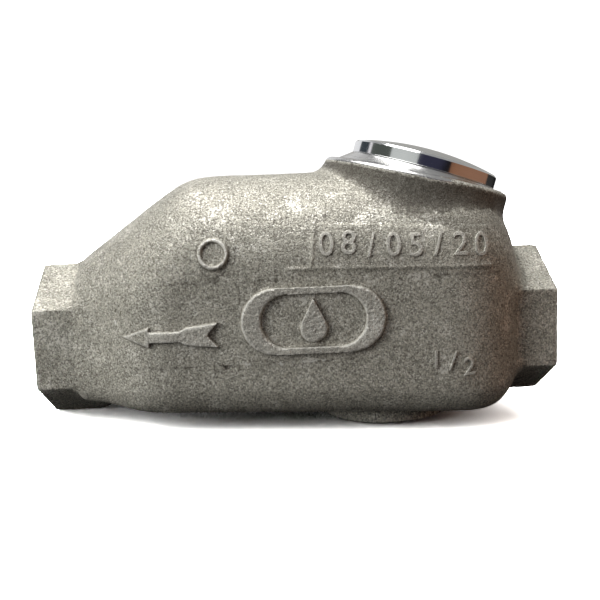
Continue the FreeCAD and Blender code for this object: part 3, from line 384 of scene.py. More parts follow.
@dataclass(frozen=True)
class SealRubber:
    """Moulded black rubber with a dusty bloom."""

    name: str = "seal_rubber"
    colour: Colour = (0.018, 0.018, 0.02, 1)
    bloom: Colour = (0.06, 0.06, 0.06, 1)
    bloom_range: Pair = (0.45, 0.8)
    cells: float = 900
    roughness: float = 0.55
    bump: float = 0.2
    depth: float = 0.05 * MM

    def material(self) -> Material:
        """Builds the material.

        Returns:
            The material.
        """
        material, wiring, shader, place = new_material(self.name)
        dust = wiring.grain(place, self.cells, 3.0)
        colour = wiring.blend(wiring.ramp(dust, *self.bloom_range), self.colour, self.bloom)
        wiring.fill(shader, {"Base Color": colour, "Roughness": self.roughness})
        wiring.fill(shader, {"Normal": wiring.bump(self.bump, self.depth, dust)})
        return material


def link(name: str, data: ID) -> Object:
    """Puts a mesh, a light or a camera into the scene as an object."""
    made = bpy.data.objects.new(name, data)
    bpy.context.scene.collection.objects.link(made)
    return made


def to_mesh(name: str, form: BMesh) -> Mesh:
    """Turns a form into a mesh and frees it.

    Args:
        name: the mesh's name.
        form: the form.

    Returns:
        The mesh.
    """
    mesh = bpy.data.meshes.new(name)
    form.to_mesh(mesh)
    form.free()
    return mesh


def merge(target: BMesh, mesh: Mesh) -> None:
    """Adds a mesh to a form and removes it."""
    target.from_mesh(mesh)
    bpy.data.meshes.remove(mesh)


def add_piece(
    name: str, form: BMesh, materials: list[Material], body: Body, sharp: float
) -> Object:
    """Makes a finished mesh a piece of the object.

    Args:
        name: the piece's name.
        form: its mesh, which is freed.
        materials: its finishes, in the order of its faces' slots.
        body: the moving body that it rides on.
        sharp: the angle over which an edge isn't shaded smooth.

    Returns:
        The piece.
    """
    for face in form.faces:
        face.smooth = True
    mesh = to_mesh(name, form)
    mesh.set_sharp_from_angle(angle=sharp)
    for material in materials:
        mesh.materials.append(material)
    piece = link(name, mesh)
    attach(piece, body.value)
    LOG.info("%s: %d faces on %s", name, len(mesh.polygons), body.value)
    return piece


def split(form: BMesh, edges: list[BMEdge], method: str) -> None:
    """Splits edges in the middle and makes the faces triangles again.

    Args:
        form: the mesh.
        edges: the edges that are too long.
        method: how four-sided faces are cut.
    """
    bmesh.ops.subdivide_edges(form, edges=edges, cuts=1)
    many = [face for face in form.faces if len(face.verts) > 3]
    bmesh.ops.triangulate(form, faces=many, quad_method=method)


def wind(
    form: BMesh, profile: list[Vector], axis: Vector, pitch: float, steps: int, low: float, high: float
) -> None:
    """Sweeps a thread's profile along its helix and cuts it square at both ends.

    Args:
        form: the mesh that the thread is wound in.
        profile: its outline over one pitch, one turn before the low end.
        axis: the thread's axis, through the origin.
        pitch: the rise of one turn.
        steps: the steps of one turn.
        low: where the thread starts along the axis.
        high: where it ends.
    """
    turns = ceil((high - low) / pitch) + 1
    verts = [form.verts.new(point) for point in profile]
    edges = [form.edges.new(pair) for pair in zip(verts, verts[1:])]
    run = {"axis": axis, "dvec": axis * (pitch / steps), "angle": 2 * pi * turns, "steps": steps * turns}
    bmesh.ops.spin(form, geom=verts + edges, **run)
    bmesh.ops.remove_doubles(form, verts=form.verts, dist=WELD)
    for place, side in ((low, -1), (high, 1)):
        everything = form.verts[:] + form.edges[:] + form.faces[:]
        cut = {"plane_co": axis * place, "plane_no": axis * side}
        bmesh.ops.bisect_plane(form, geom=everything, clear_outer=True, **cut)


def mark_wear_and_shade(form: BMesh, reach: float = 1100.0, shortest: float = 0.2 * MM) -> None:
    """Notes at each corner whether it stands out (over a half), which the cast finish shows as lighter wear,
    or lies in a crease (under a half), which it darkens as painted shade.

    Args:
        form: the mesh, which gets the layer that the cast finish reads.
        reach: the bend, in radians a metre, that counts as a full edge.
        shortest: the edges up to this length don't count.
    """
    layer = form.verts.layers.float.get(WEAR_AND_SHADE) or form.verts.layers.float.new(WEAR_AND_SHADE)
    for vert in form.verts:
        inner = [edge for edge in vert.link_edges if len(edge.link_faces) == 2]
        edges = [edge for edge in inner if edge.calc_length() > shortest]
        bend = sum(edge.calc_face_angle_signed(0) / edge.calc_length() for edge in edges) / max(len(edges), 1)
        vert[layer] = 0.5 + min(max(bend / reach, -1), 1) / 2


@dataclass(frozen=True)
class DatePad:
    """The plate let into the mould for the numbers: its corners on the front, and the lines it leaves."""

    left: float = 75.9 * MM
    right: float = 124.5 * MM
    low: float = 20.6 * MM
    high: float = 32.2 * MM
    left_lean: float = 0.147
    low_fall: float = 0.027
    high_fall: float = 0.05
    proud: float = 0.22 * MM
    ridge: float = 0.3 * MM
    ridge_width: float = 0.5 * MM
    tail: float = 6.5 * MM
    edge: float = 0.8 * MM

    def height(self, point: Vector) -> float:
        """How far the pad and its lines stand out at a point of the front.

        Args:
            point: the point.

        Returns:
            The height.
        """
        from_left = point.x - self.left - self.left_lean * (point.z - self.low)
        from_right = self.right - point.x
        from_low = point.z - self.low + self.low_fall * (point.x - self.left)
        from_high = self.high - self.high_fall * (point.x - self.left) - point.z
        share = clamp(min(from_left, from_right, from_low, from_high) / self.edge + 0.5)
        plate = self.proud * share * share * (3 - 2 * share)
        line = 0.0
        if min(from_low, from_high) > -self.ridge_width and from_right > 0:
            line = exp(-((from_left / self.ridge_width) ** 2))
        if from_left > -self.tail and from_right > 0:
            line = max(line, exp(-((from_low / self.ridge_width) ** 2)))
        return plate + self.ridge * line


@dataclass
class CastBody:
    """The casting: its form is the node's, with a finer mesh, cast-round edges and a sandy skin."""

    node: str = "body_casting"
    length: float = 146 * MM
    port_bore: float = 9.13 * MM
    port_mouth: float = 9.93 * MM
    filler_bore: float = 19.05 * MM
    land_radius: float = 21.5 * MM
    land_reach: float = 28.3 * MM
    land_slope: float = radians(36.6)
    land_spare: float = 0.6 * MM
    land_wander: float = 0.25 * MM
    wander_cells: float = 500
    clean_from: float = radians(28)
    clean_to: float = radians(125)
    neck_along: float = 27.1 * MM
    neck_across: float = 24.8 * MM
    neck_shade: float = 0.38
    shade_reach: float = 1.24
    shade_low: float = -14 * MM
    shade_over: float = 20 * MM
    shade_from: float = 0.88
    shade_fade: float = 0.08
    steep_range: Pair = (0.70, 0.35)
    port_zone: float = 20 * MM
    seat_zone: Pair = (20 * MM, 136 * MM)
    core_radius: float = 14 * MM
    foot_x: float = 99 * MM
    foot_z: float = -25.8 * MM
    slack: float = 0.03 * MM
    coarse_edge: float = 2.1 * MM
    fine_edge: float = 0.62 * MM
    cone_edge: float = 1 * MM
    weld: float = 0.001 * MM
    rounds: int = 10
    marks_low: Pair = (24 * MM, -4 * MM)
    marks_high: Pair = (97 * MM, 18 * MM)
    ring_centre: Pair = (50.8 * MM, 25.5 * MM)
    ring_reach: float = 6 * MM
    pad_low: Pair = (67 * MM, 17.5 * MM)
    pad_high: Pair = (127 * MM, 34 * MM)
    front: float = -18 * MM
    sharp: float = radians(50)
    flat_front: float = -31 * MM
    mark_gain: float = 0.5
    mark_wander: float = 0.14 * MM
    mark_skin: float = 0.3 * MM
    mark_face: float = 0.5 * MM
    rubbed: float = 0.60
    lip_inner: float = 23.5 * MM
    lip_low: float = -5.6 * MM
    lip_side: float = 4 * MM
    lip_level: float = 0.3
    even_factor: float = 0.45
    even_rounds: int = 3
    root_bend: float = radians(16)
    root_rings: int = 2
    root_factor: float = 0.5
    root_rounds: int = 4
    slow_cells: float = 260
    slow_rise: float = 0.05 * MM
    quick_cells: float = 900
    quick_rise: float = 0.045 * MM
    mark_cells: float = 1300
    pad: DatePad = DatePad()

    def on_rim(self, point: Vector) -> bool:
        """Whether a point lies on a circle where the outside meets a bore.

        Args:
            point: the point.

        Returns:
            True on the rims of the ports, the filler and the core hole.
        """
        local, around = FILLER.local(point)
        across = hypot(point.y, point.z)
        reach = hypot(point.x - self.foot_x, point.y)
        rims = (
            (min(abs(point.x), abs(point.x - self.length)), across - self.port_mouth),
            (local.z, around - self.filler_bore),
            (point.z - self.foot_z, reach - self.core_radius),
        )
        return any(max(abs(level), abs(gap)) < self.slack for level, gap in rims)

    def is_cut(self, point: Vector) -> bool:
        """Whether a point lies on a machined outside: a port's face, the filler's seat or its cone.

        Args:
            point: the point.

        Returns:
            True on those surfaces.
        """
        if min(abs(point.x), abs(point.x - self.length)) < self.slack:
            return True
        local, across = FILLER.local(point)
        cone = -max(across - self.land_radius, 0) * tan(self.land_slope)
        return across < self.land_reach + self.slack and abs(local.z - cone) < self.slack

    def at_seat(self, point: Vector) -> bool:
        """Whether a point lies between the ports' faces, where the filler's seat is the only cut."""
        return self.seat_zone[0] < point.x < self.seat_zone[1]

    def leave_lip(self, form: BMesh, role: BMLayerItem) -> None:
        """Gives the cone's outer part back to the cast skin where the cutter didn't reach, on the inlet side.

        Args:
            form: the casting.
            role: the layer that holds the faces' roles.
        """
        for face in form.faces:
            middle = face.calc_center_median()
            if face[role] != Role.CUT or not self.at_seat(middle):
                continue
            local, across = FILLER.local(middle)
            turned = atan2(abs(local.y), local.x)
            share = clamp((turned - self.clean_from) / (self.clean_to - self.clean_from))
            reach = self.land_radius + self.land_spare + (self.land_reach - self.land_radius) * share
            reach += self.land_wander * noise.noise(middle * self.wander_cells)
            if across >= reach and (local.x > 0 or across < self.land_reach):
                face[role] = Role.SKIN

    def shade_neck(self, form: BMesh, cast: list[BMVert]) -> None:
        """Paints shade on the neck's wall below the lip: lowers the wear-and-shade value there, so the cast
        finish darkens it.

        Args:
            form: the casting.
            cast: the corners of the cast skin.
        """
        wear_and_shade = form.verts.layers.float.get(WEAR_AND_SHADE)
        turn = FILLER.from_part.to_3x3()
        for vert in cast:
            local = FILLER.from_part @ vert.co
            oval = hypot(local.x / self.neck_along, local.y / self.neck_across)
            is_near = self.shade_from < oval < self.shade_reach and local.z > self.shade_low
            if is_near and vert.co.z > self.shade_over:
                steep = clamp((self.steep_range[0] - (turn @ vert.normal).z) / self.steep_range[1])
                vert[wear_and_shade] -= self.neck_shade * steep * min((self.shade_reach - oval) / self.shade_fade, 1)

    def is_lip(self, face: BMFace) -> bool:
        """Whether a face lies on the outlet side of the cast lip, which the cone's cut cleaned too.

        Args:
            face: the face.

        Returns:
            True on that side of the lip.
        """
        local, across = FILLER.local(face.calc_center_median())
        way = FILLER.from_part.to_3x3() @ face.normal
        on_side = local.x < self.lip_side and across > self.lip_inner
        return on_side and self.lip_low < local.z < 0 and way.z > self.lip_level

    def sort_faces(self, form: BMesh) -> BMLayerItem:
        """Marks each face with its role, growing the outside from the front over all edges but the rims.

        Args:
            form: the casting.

        Returns:
            The layer that holds the roles.
        """
        role = form.faces.layers.int.new("role")
        seed = min(form.faces, key=lambda face: face.calc_center_median().y)
        found, waiting = {seed}, [seed]
        while waiting:
            face = waiting.pop()
            is_cut = self.is_lip(face) or all(self.is_cut(vert.co) for vert in face.verts)
            face[role] = Role.CUT if is_cut else Role.SKIN
            for edge in face.edges:
                if all(self.on_rim(vert.co) for vert in edge.verts):
                    continue
                for other in edge.link_faces:
                    if other not in found:
                        found.add(other)
                        waiting.append(other)
        return role

    def open_ports(self, form: BMesh) -> None:
        """Takes out the plain walls of the threaded ports, whose place the thread takes.

        Args:
            form: the casting.
        """
        walls = [
            face
            for face in form.faces
            if all(abs(hypot(vert.co.y, vert.co.z) - self.port_bore) < self.slack for vert in face.verts)
        ]
        bmesh.ops.delete(form, geom=walls, context="FACES")

    def edge_limit(self, middle: Vector) -> float:
        """The longest edge allowed at a point: short on the cone, and round the marks and the pad.

        Args:
            middle: the edge's middle.

        Returns:
            Its limit.
        """
        if self.at_seat(middle) and self.is_cut(middle):
            return self.cone_edge
        if middle.y > self.front:
            return self.coarse_edge
        zones = ((self.marks_low, self.marks_high), (self.pad_low, self.pad_high))
        in_zone = any(low[0] < middle.x < high[0] and low[1] < middle.z < high[1] for low, high in zones)
        reach = hypot(middle.x - self.ring_centre[0], middle.z - self.ring_centre[1])
        return self.fine_edge if in_zone or reach < self.ring_reach else self.coarse_edge

    def refine(self, form: BMesh, role: BMLayerItem) -> None:
        """Splits long edges of the outside until each is under its limit.

        Args:
            form: the casting.
            role: the layer that holds the faces' roles.
        """
        for _ in range(self.rounds):
            long_edges = [
                edge
                for edge in form.edges
                if any(face[role] != Role.INSIDE for face in edge.link_faces)
                and edge.calc_length() > self.edge_limit((edge.verts[0].co + edge.verts[1].co) / 2)
            ]
            if not long_edges:
                return
            split(form, long_edges, "SHORT_EDGE")

    def soften(self, form: BMesh, cast: list[BMVert]) -> None:
        """Rounds the cast edges, lightly at the marks and most at the roots of the neck and the hexagons.

        Args:
            form: the casting.
            cast: the corners that may move.
        """
        even = {"use_axis_x": True, "use_axis_y": True, "use_axis_z": True}
        plain = [vert for vert in cast if self.edge_limit(vert.co) == self.coarse_edge]
        for vert in cast:
            if vert.co.y < self.flat_front and self.edge_limit(vert.co) == self.fine_edge:
                vert.co.y += self.mark_gain * (vert.co.y - self.flat_front)
        for _ in range(self.even_rounds):
            bmesh.ops.smooth_vert(form, verts=cast, factor=self.even_factor, **even)
        roots = {
            vert
            for edge in form.edges
            if len(edge.link_faces) == 2 and edge.calc_face_angle_signed(0) < -self.root_bend
            for vert in edge.verts
        }
        movable = set(plain)
        zone = roots & movable
        for _ in range(self.root_rings):
            zone |= {edge.other_vert(vert) for vert in zone for edge in vert.link_edges} & movable
            ordered = sorted(zone, key=lambda vert: vert.index)
            for _ in range(self.root_rounds):
                bmesh.ops.smooth_vert(form, verts=ordered, factor=self.root_factor, **even)

    def roughen(self, form: BMesh, cast: list[BMVert]) -> None:
        """Raises the pad, and moves the cast skin in and out as sand leaves it.

        Args:
            form: the casting.
            cast: the corners of the cast skin.
        """
        form.normal_update()
        for vert in cast:
            slow = noise.fractal(vert.co * self.slow_cells, 1.0, 2.0, 2)
            quick = noise.noise(vert.co * self.quick_cells)
            raised = self.pad.height(vert.co) if vert.co.y < self.front else 0.0
            if vert.co.y < self.flat_front - self.mark_skin:
                raised += self.mark_wander * noise.noise(vert.co * self.mark_cells)
            vert.co += vert.normal * (raised + self.slow_rise * slow + self.quick_rise * quick)

    def build(self, cast_iron: Material, cone: Material, faced: Material) -> Object:
        """Builds the casting.

        Args:
            cast_iron: the cast skin's finish.
            cone: the finish turned round the filler's axis.
            faced: the finish turned round the air bore.

        Returns:
            The piece, which stands for the node.
        """
        form = bmesh.new()
        form.verts.layers.float.new(WEAR_AND_SHADE)
        form.from_mesh(frame["nodes"][self.node].data)
        bmesh.ops.remove_doubles(form, verts=form.verts, dist=self.weld)
        role = self.sort_faces(form)
        self.open_ports(form)
        self.refine(form, role)
        self.leave_lip(form, role)
        form.verts.index_update()
        skin = {vert for face in form.faces if face[role] == Role.SKIN for vert in face.verts}
        fixed = {vert for face in form.faces if face[role] != Role.SKIN for vert in face.verts}
        cast = sorted(skin - fixed, key=lambda vert: vert.index)
        near_ports = (self.port_zone, self.length - self.port_zone)
        for face in form.faces:
            middle = face.calc_center_median()
            at_port = not near_ports[0] < middle.x < near_ports[1]
            if face[role] == Role.CUT:
                face.material_index = Surface.FACED if at_port else Surface.CONE
            elif face[role] == Role.INSIDE and at_port:
                if hypot(middle.y, middle.z) < self.port_mouth:
                    face.material_index = Surface.FACED
        self.soften(form, cast)
        mark_wear_and_shade(form)
        wear_and_shade = form.verts.layers.float.get(WEAR_AND_SHADE)
        for vert in cast:
            if vert.co.y < self.flat_front - self.mark_face:
                vert[wear_and_shade] = max(vert[wear_and_shade], self.rubbed)
        form.normal_update()
        # Painted shade on the neck's wall.
        self.shade_neck(form, cast)
        self.roughen(form, cast)
        piece = add_piece("casting", form, [cast_iron, cone, faced], Body.HOUSING, self.sharp)
        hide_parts(self.node)
        return piece


@dataclass
class PortThread:
    """The pipe thread cut in one port, as a surface swept along its helix."""

    name: str
    low: float
    high: float
    pitch: float = 1.814 * MM
    crest: float = 9.13 * MM
    root: float = 10.15 * MM
    steps: int = 72
    sharp: float = radians(35)

    @property
    def groove(self) -> tuple[Pair, ...]:
        """The groove's outline: shares of the pitch, and radii."""
        crest, root = self.crest, self.root
        return ((0.0, crest), (0.16, crest), (0.52, root), (0.64, root), (1.0, crest))

    def build(self, finish: Material) -> Object:
        """Builds the thread.

        Args:
            finish: its material.

        Returns:
            The piece.
        """
        form = bmesh.new()
        profile = [Vector((self.low + (share - 1) * self.pitch, 0, radius)) for share, radius in self.groove]
        wind(form, profile, Vector((1, 0, 0)), self.pitch, self.steps, self.low, self.high)
        form.normal_update()
        across = Vector((0, 1, 1))
        outward = [face for face in form.faces if face.normal.dot(face.calc_center_median() * across) > 0]
        bmesh.ops.reverse_faces(form, faces=outward)
        return add_piece(self.name, form, [finish], Body.HOUSING, self.sharp)


@dataclass
class CastNumbers:
    """Plain raised numbers on the front, one at a time, as hand-set letters stand in a mould."""

    name: str
    text: str
    first: Pair
    last: Pair
    height: float
    proud: float = 0.34 * MM
    bevel: float = 0.14 * MM
    bevel_steps: int = 2
    thinned: float = 0.05 * MM
    rubbed: float = 0.64
    side_shade: float = 0.3
    longest: float = 1.2 * MM
    capital: float = 0.7
    weld: float = 0.002 * MM
    seed: Triple = (0, 2.1, 0.4)
    seed_step: float = 7.3
    line_wander: float = 0.6 * MM
    lean_wander: float = 0.09
    ahead: float = 60 * MM
    rounds: int = 3
    sharp: float = radians(50)

    def numeral(self, character: str, place: Vector, lean: float) -> BMesh:
        """Makes one raised numeral upright at its place, its back on the plane y = 0.

        Args:
            character: the numeral.
            place: its middle in X and Z.
            lean: how far it is turned from upright.

        Returns:
            Its mesh.
        """
        data = bpy.data.curves.new(self.name, "FONT")
        data.body = character
        data.size = self.height / self.capital
        data.align_x = data.align_y = "CENTER"
        data.extrude = self.proud
        data.bevel_depth = self.bevel
        data.bevel_resolution = self.bevel_steps
        data.offset = -self.thinned
        holder = bpy.data.objects.new(self.name, data)
        form = bmesh.new()
        merge(form, bpy.data.meshes.new_from_object(holder))
        bpy.data.objects.remove(holder)
        bpy.data.curves.remove(data)
        bmesh.ops.remove_doubles(form, verts=form.verts, dist=self.weld)
        upright = Matrix.Rotation(lean, 4, "Y") @ Matrix.Rotation(pi / 2, 4, "X")
        bmesh.ops.transform(form, matrix=Matrix.Translation(place) @ upright, verts=form.verts)
        return form

    def build(self, casting: Object, cast_iron: Material) -> Object:
        """Builds the row and lays it on the casting.

        Args:
            casting: the casting, which the numerals stand on.
            cast_iron: the cast skin's finish.

        Returns:
            The piece.
        """
        ground = bmesh.new()
        ground.from_mesh(casting.data)
        surface = BVHTree.FromBMesh(ground)
        ground.free()
        row = bmesh.new()
        gaps = max(len(self.text) - 1, 1)
        for number, character in enumerate(self.text):
            share = number / gaps
            x, z = (low + share * (high - low) for low, high in zip(self.first, self.last))
            wander = noise.noise(Vector(self.seed) + Vector((self.seed_step * number, 0, 0)))
            place = Vector((x, 0, z + self.line_wander * wander))
            form = self.numeral(character, place, self.lean_wander * wander)
            merge(row, to_mesh(self.name, form))
        for _ in range(self.rounds):
            split(row, [edge for edge in row.edges if edge.calc_length() > self.longest], "BEAUTY")
        layer = row.verts.layers.float.new(WEAR_AND_SHADE)
        for vert in row.verts:
            # Painted shade on the sides and back: a low wear-and-shade value darkens them; the faces get
            # rubbed wear.
            vert[layer] = self.rubbed if vert.co.y < -self.proud else self.side_shade
            ahead = Vector((vert.co.x, -self.ahead, vert.co.z))
            met, normal, _, _ = surface.ray_cast(ahead, Vector((0, 1, 0)))
            if met is not None:
                vert.co = met - normal * vert.co.y
        bmesh.ops.recalc_face_normals(row, faces=row.faces)
        return add_piece(self.name, row, [cast_iron], Body.HOUSING, self.sharp)


@dataclass
class FillerPlug:
    """The turned filler plug: bright rim, ground dome with a hexagon socket, seal groove and thread."""

    node: str = "filler_plug"
    rise: float = 0.03 * MM
    rim: float = 21.2 * MM
    rim_height: float = 3.2 * MM
    chamfer: float = 0.55 * MM
    dome_rise: float = 2.7 * MM
    shank: float = 19 * MM
    core: float = 18 * MM
    reach: float = 12 * MM
    hollow: float = 13 * MM
    hollow_top: float = -3.2 * MM
    groove_floor: float = 16.39 * MM
    groove_low: float = -3.43 * MM
    groove_high: float = -0.37 * MM
    socket_flats: float = 10 * MM
    socket_depth: float = 5 * MM
    socket_lead: float = 6.3 * MM
    socket_lip: float = 0.35 * MM
    socket_drill: float = 1.2 * MM
    pitch: float = 25.4 / 12 * MM
    steps: int = 144
    crown_steps: int = 16
    edge: float = 0.12 * MM
    corner: float = 0.6 * MM
    hollow_corner: float = 0.8 * MM
    groove_lands: Triple = (0.9 * MM, 0.5 * MM, 0.7 * MM)
    thread_steps: int = 96
    thread_lead: float = 0.5 * MM
    thread_sink: float = 0.05 * MM
    run_out: float = 0.9 * MM
    weld: float = 0.002 * MM
    sharp: float = radians(30)

    def dome(self, radius: float) -> float:
        """The dome's height at a radius.

        Args:
            radius: the radius.

        Returns:
            The height over the seat.
        """
        edge = self.rim - self.chamfer
        round_radius = (edge**2 + self.dome_rise**2) / (2 * self.dome_rise)
        top = self.rim_height + self.chamfer + self.dome_rise
        return top - round_radius + sqrt(round_radius**2 - radius**2)

    def section(self) -> list[Pair]:
        """The outline that is spun.

        Returns:
            Radii and heights, from the middle of the underside to the socket's mouth.
        """
        wide, narrow, _ = self.groove_lands
        low = [
            (0.0, self.hollow_top),
            (self.hollow - self.hollow_corner, self.hollow_top),
            (self.hollow, self.hollow_top - self.hollow_corner),
            (self.hollow, -self.reach + self.edge),
            (self.hollow + self.edge, -self.reach),
            (self.core - self.corner, -self.reach),
            (self.core, -self.reach + self.corner),
            (self.core, self.groove_low - wide),
            (self.shank, self.groove_low - narrow),
            (self.shank, self.groove_low),
            (self.groove_floor, self.groove_low),
            (self.groove_floor, self.groove_high),
            (self.shank, self.groove_high),
            (self.shank, 0.0),
            (self.rim - 2 * self.edge, 0.0),
            (self.rim, 2 * self.edge),
            (self.rim, self.rim_height),
        ]
        start, count = self.rim - self.chamfer, self.crown_steps
        crown = [start + (self.socket_lead - start) * share / count for share in range(count + 1)]
        return low + [(radius, self.dome(radius)) for radius in crown]

    def add_socket(self, form: BMesh) -> None:
        """Leads the dome's inner circle into a hexagon and drives it down to a drilled floor.

        Args:
            form: the plug, in the filler's own frame.
        """
        ring = [edge for edge in form.edges if edge.is_boundary]
        floor = self.socket_depth + self.socket_drill
        for depth in (self.socket_lip, self.socket_depth, floor):
            grown = bmesh.ops.extrude_edge_only(form, edges=ring)["geom"]
            ring = [part for part in grown if isinstance(part, BMEdge) and part.is_boundary]
            rim = list({vert for edge in ring for vert in edge.verts})
            if depth == floor:
                bmesh.ops.pointmerge(form, verts=rim, merge_co=Vector((0, 0, self.dome(0) - depth)))
                return
            for vert in rim:
                angle = atan2(vert.co.y, vert.co.x)
                inside = self.socket_flats / 2 / cos(angle % (pi / 3) - pi / 6)
                vert.co = Vector((inside * cos(angle), inside * sin(angle), self.dome(0) - depth))

    def add_thread(self, form: BMesh) -> None:
        """Winds the thread's ridge round the core, run out at both ends.

        Args:
            form: the plug, in the filler's own frame.
        """
        low, high = -self.reach + self.thread_lead, self.groove_low - self.groove_lands[2]
        inner = self.core - self.thread_sink
        ridge = ((0.0, inner), (0.42, self.shank), (0.58, self.shank), (1.0, inner))
        profile = [Vector((radius, 0, low + (share - 1) * self.pitch)) for share, radius in ridge]
        wind(form, profile, Vector((0, 0, 1)), self.pitch, self.thread_steps, low, high)
        for vert in form.verts:
            across = hypot(vert.co.x, vert.co.y)
            share = clamp(min(vert.co.z - low, high - vert.co.z) / self.run_out)
            wanted = inner + (across - inner) * share
            vert.co.x *= wanted / across
            vert.co.y *= wanted / across
        form.normal_update()
        level = Vector((1, 1, 0))
        inward = [face for face in form.faces if face.normal.dot(face.calc_center_median() * level) < 0]
        bmesh.ops.reverse_faces(form, faces=inward)

    def build(self, turned: Material, ground: Material) -> Object:
        """Builds the plug.

        Args:
            turned: the finish of the rim and the shank.
            ground: the finish of the dome.

        Returns:
            The piece, which stands for the node.
        """
        form = bmesh.new()
        verts = [form.verts.new((radius, 0, height)) for radius, height in self.section()]
        edges = [form.edges.new(pair) for pair in zip(verts, verts[1:])]
        run = {"axis": (0, 0, 1), "angle": 2 * pi, "steps": self.steps, "use_merge": True}
        bmesh.ops.spin(form, geom=verts + edges, **run)
        bmesh.ops.remove_doubles(form, verts=form.verts, dist=self.weld)
        self.add_socket(form)
        bmesh.ops.recalc_face_normals(form, faces=form.faces)
        thread = bmesh.new()
        self.add_thread(thread)
        merge(form, to_mesh("thread", thread))
        for face in form.faces:
            face.material_index = int(face.calc_center_median().z > self.rim_height + self.chamfer / 2)
        place = FILLER.to_part @ Matrix.Translation((0, 0, self.rise))
        bmesh.ops.transform(form, matrix=place, verts=form.verts)
        finishes = [turned, ground]
        piece = add_piece("plug_turning", form, finishes, Body.PLUG, self.sharp)
        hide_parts(self.node)
        return piece


@dataclass(frozen=True)
class CheckCoil:
    """The check valve's spring, which the ball presses together against the cage."""

    node: str = "check_spring"
    joint: str = "check_ball_lift"
    stroke: float = 1.2 * MM
    sharp: float = radians(35)

    def build(self, steel: Material) -> Object:
        """Builds the spring.

        Args:
            steel: its finish.

        Returns:
            The piece, which stands for the node.
        """
        form = bmesh.new()
        form.from_mesh(frame["nodes"][self.node].data)
        coil = add_piece("check_coil", form, [steel], Body.HOUSING, self.sharp)
        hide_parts(self.node)
        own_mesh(coil)
        return coil


def dress(finishes: dict[str, Material]) -> None:
    """Gives the inner pieces, which keep their nodes' form, a finish by what they are made of.

    Args:
        finishes: the material of each of the record's slots for them.
    """
    slots = {part["node"]: part["material_slot"] for part in frame["record"]["subparts"]}
    for node, piece in frame["nodes"].items():
        material = finishes.get(slots[node])
        if material is not None and node not in (FillerPlug.node, CheckCoil.node):
            piece.data.materials.clear()
            piece.data.materials.append(material)
            LOG.info("%s: %s", node, material.name)


